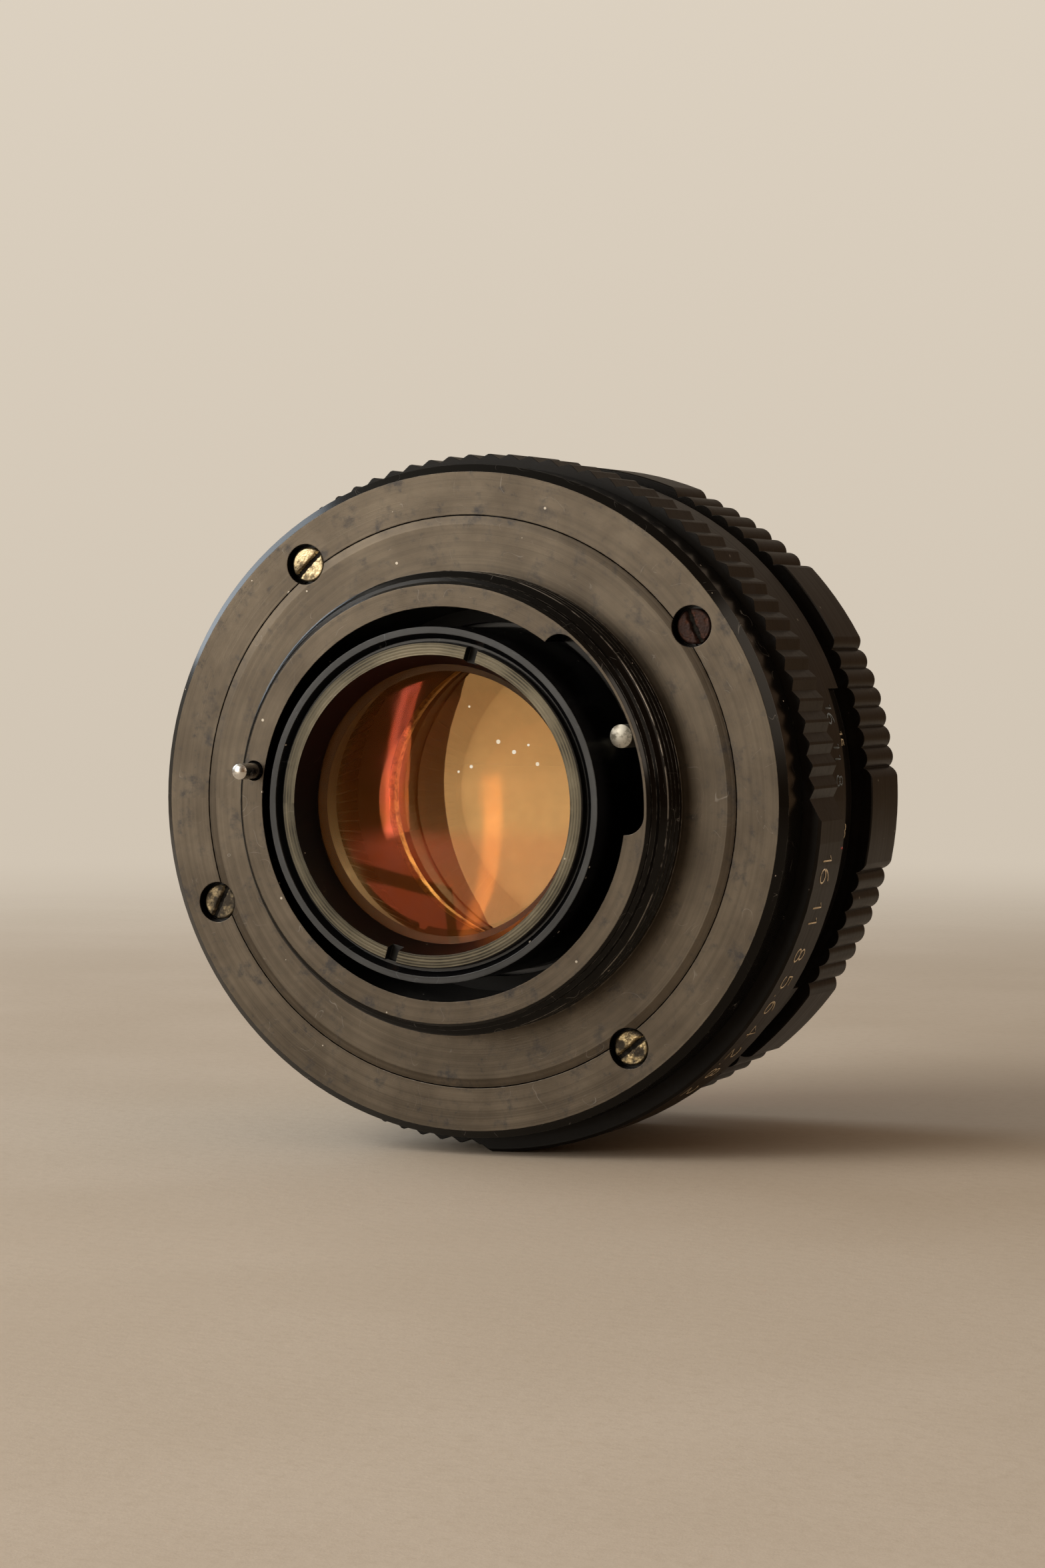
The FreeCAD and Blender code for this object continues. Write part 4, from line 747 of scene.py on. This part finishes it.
def worn_screw(name, phi, tilt, material, wear, seed):
    """A slotted cheese-head screw: a domed, pitted, hand-worn top and a soft-edged slot with painted shade
    deep inside.
    """
    top_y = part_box("mount_screws")[0][1] / MM
    centre = polar(SCREW_CIRCLE_R, phi, 0.0)
    turn = math.radians(tilt)
    ring = [2 * math.pi * k / SCREW_SEGMENTS for k in range(SCREW_SEGMENTS)]
    verts = [centre + Vector((0, top_y + head_drop(0, 0, turn, wear, seed), 0)) * MM]
    faces = []
    for j in range(1, SCREW_RINGS + 1):
        r = HEAD_R * (j / SCREW_RINGS) ** 0.85
        for a in ring:
            x, z = r * math.cos(a), r * math.sin(a)
            verts.append(centre + Vector((x, top_y + head_drop(x, z, turn, wear, seed), z)) * MM)
    last = cap(faces, 0, SCREW_RINGS, SCREW_SEGMENTS)
    # Painted shade: the faces deep in the slot take a near-black material.
    shade_y = (top_y + SHADE_DEPTH) * MM
    shaded_faces = [i for i, face in enumerate(faces) if min(verts[v].y for v in face) > shade_y]
    for r, y in shank_profile(top_y + HEAD_H):
        start, r = len(verts), max(r, 0.001)
        verts.extend(centre + Vector((r * math.cos(a), y, r * math.sin(a))) * MM for a in ring)
        bridge(faces, last, start, SCREW_SEGMENTS)
        last = start
    faces.append(tuple(last + k for k in range(SCREW_SEGMENTS)))
    made = outward(new_mesh(name, verts, faces))
    made.data.materials.append(material)
    made.data.materials.append(SLOT_SHADE)
    for i in shaded_faces:
        made.data.polygons[i].material_index = 1
    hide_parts("mount_screws")
    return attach(made, "barrel")


# Polar angle, turn of the slot in degrees, metal and wear of each screw, as in the photo.
SCREWS = ((126.5, 45.0, SCREW_BRASS, 0.8), (36.2, -67.0, SCREW_RUST, 1.5),
          (-54.0, 38.0, SCREW_PATCHY, 1.2), (-158.9, 65.0, SCREW_DARK, 0.9))
for i, (phi, tilt, material, wear) in enumerate(SCREWS):
    worn_screw(f"mount_screw_{i + 1}", phi, tilt, material, wear, 3.0 + 5.0 * i)


# ---- floor, light and camera ----
FLOOR_Z = CAD_BOX[0][2]
FLOOR_HALF = 2.4
FLOOR_FADE = (150.0, 520.0)  # millimetres from the origin, where the paper starts and ends melting away
LENS_MIDDLE = Vector((0, 0.015, 0))
CAMERA_PLACE = Vector((142.76, -334.75, 14.56)) * MM
CAMERA_FORWARD = Vector((-0.37878, 0.92481, -0.03544))


def floor():
    """A pale paper floor that melts into the backdrop."""
    corners = [(x * FLOOR_HALF, y * FLOOR_HALF, FLOOR_Z) for x, y in ((-1, -1), (1, -1), (1, 1), (-1, 1))]
    made = new_mesh("floor", corners, [(0, 1, 2, 3)])
    g = Graph("pale_paper")
    place = g.place()
    fibre = g.noise(place, 0.9, 6.0, 0.65)
    cloud = g.noise(place, 0.02, 3.0, 0.5)
    tone = g.mix(g.ramp(cloud, 0.3, 0.7), (0.70, 0.60, 0.48), (0.76, 0.66, 0.54))
    tone = g.mix(g.times(g.ramp(fibre, 0.45, 0.75), 0.35), tone, (0.62, 0.52, 0.40))
    paper = g.principled(Base_Color=tone, Roughness=0.75, Normal=g.bump(fibre, 0.08, 0.5))
    x, y, _ = g.split(place)
    fade = g.ramp(g.length(x, y), *FLOOR_FADE)
    behind = g.node("NewGeometry", out="Backfacing")
    clear = g.node("BsdfTransparent")
    made.data.materials.append(g.done(g.blend(g.math("MAXIMUM", fade, behind), paper, clear)))
    return made


def link_light(light, name, pieces, state):
    """Include or exclude pieces as receivers of a light."""
    group = bpy.data.collections.new(name + "_receivers")
    for piece in pieces:
        group.objects.link(piece)
    light.light_linking.receiver_collection = group
    for link in group.collection_objects:
        link.light_linking.link_state = state


def softbox(name, direction, distance, width, height, power, color, off=(), only=()):
    """A soft area light that looks at the lens from a direction.

    It can be kept off some pieces, or to some pieces, which it then reaches through the floor."""
    light = bpy.data.lights.new(name, "AREA")
    light.shape = "RECTANGLE"
    light.size = width
    light.size_y = height
    light.energy = power
    light.color = color
    made = bpy.data.objects.new(name, light)
    bpy.context.scene.collection.objects.link(made)
    toward = Vector(direction).normalized()
    made.location = toward * distance + LENS_MIDDLE
    made.rotation_euler = toward.to_track_quat("Z", "Y").to_euler()
    if off:
        link_light(made, name, off, "EXCLUDE")
    if only:
        link_light(made, name, only, "INCLUDE")
        blockers = bpy.data.collections.new(name + "_blockers")
        blockers.objects.link(FLOOR)
        made.light_linking.blocker_collection = blockers
        blockers.collection_objects[0].light_linking.link_state = "EXCLUDE"


def surroundings():
    """A pale backdrop for the camera, and a soft warm room for everything the lens reflects."""
    world = bpy.data.worlds.new("studio")
    bpy.context.scene.world = world
    world.use_nodes = True
    g = Graph("studio", world.node_tree)
    x, _, z = g.split(g.node("TexCoord", out="Generated"))
    left = g.ramp(g.minus(g.times(z, 0.5), x), -0.6, 1.0)
    room = g.mix(left, (0.17, 0.082, 0.032), (0.42, 0.37, 0.30))
    room = g.mix(g.ramp(z, -0.25, 0.1), (0.26, 0.165, 0.085), room)
    backdrop = g.mix(g.ramp(z, -0.25, 0.45), (0.60, 0.52, 0.42), (0.78, 0.70, 0.59))
    seen = g.math("MAXIMUM", g.node("LightPath", out="Is Camera Ray"),
                  g.node("LightPath", out="Is Transmission Ray"))
    room = g.node("Background", {"Color": room, "Strength": 0.75})
    backdrop = g.node("Background", {"Color": backdrop, "Strength": 1.0})
    g.done(g.blend(seen, room, backdrop))


def photo_camera():
    """The camera at the photograph's viewing angle."""
    data = bpy.data.cameras.new("camera")
    data.sensor_width = 36.0
    data.lens = 91.84
    data.clip_start = 0.01
    data.clip_end = 20.0
    made = bpy.data.objects.new("camera", data)
    bpy.context.scene.collection.objects.link(made)
    made.location = CAMERA_PLACE
    made.rotation_euler = CAMERA_FORWARD.to_track_quat("-Z", "Y").to_euler()
    bpy.context.scene.camera = made


FLOOR = floor()
surroundings()
ALL_GLASS = tuple(GLASS_PIECES.values())
REAR = (GLASS_PIECES["rear_element"],)
RINGS = tuple(NODES[name] for name in ("aperture_ring", "depth_scale_ring", "focus_ring", "main_barrel",
                                       "mount_plate", "rear_cover_ring"))
WARM, ROSE = (1.0, 0.95, 0.88), (1.0, 0.75, 0.62)
# Name, direction, distance, width, height, power and colour. The window strips are the pale streak that the
# rear glass mirrors.
softbox("key_softbox", (-0.60, -0.66, 0.45), 0.9, 0.7, 0.7, 5.5, WARM, off=ALL_GLASS)
softbox("front_softbox", (-0.42, -0.90, 0.02), 1.1, 0.6, 0.6, 2.2, (1.0, 0.92, 0.80), off=ALL_GLASS)
softbox("left_window", (-0.85, 0.26, 0.44), 0.7, 0.35, 0.35, 1.3, (0.80, 0.90, 1.0))
softbox("right_fill", (0.9, -0.3, 0.35), 0.9, 0.5, 0.5, 0.25, (1.0, 0.80, 0.60), off=ALL_GLASS)
softbox("side_softbox", (0.90, 0.00, 0.50), 0.9, 0.6, 0.6, 3.2, (1.0, 0.86, 0.70), off=(*ALL_GLASS, FLOOR))
softbox("far_softbox", (0.30, 0.85, 0.60), 0.9, 0.6, 0.6, 4.5, WARM, off=(*RINGS, FLOOR))
softbox("window_edge", (-0.600, -0.772, 0.23), 0.9, 0.030, 0.74, 1.80, ROSE, only=REAR)
softbox("window_pane", (-0.572, -0.790, 0.24), 0.9, 0.050, 0.74, 1.05, (1.0, 0.70, 0.70), only=REAR)
softbox("window_far_edge", (-0.545, -0.810, 0.25), 0.9, 0.014, 0.74, 0.75, ROSE, only=REAR)
photo_camera()
bpy.context.scene.view_settings.view_transform = "Standard"
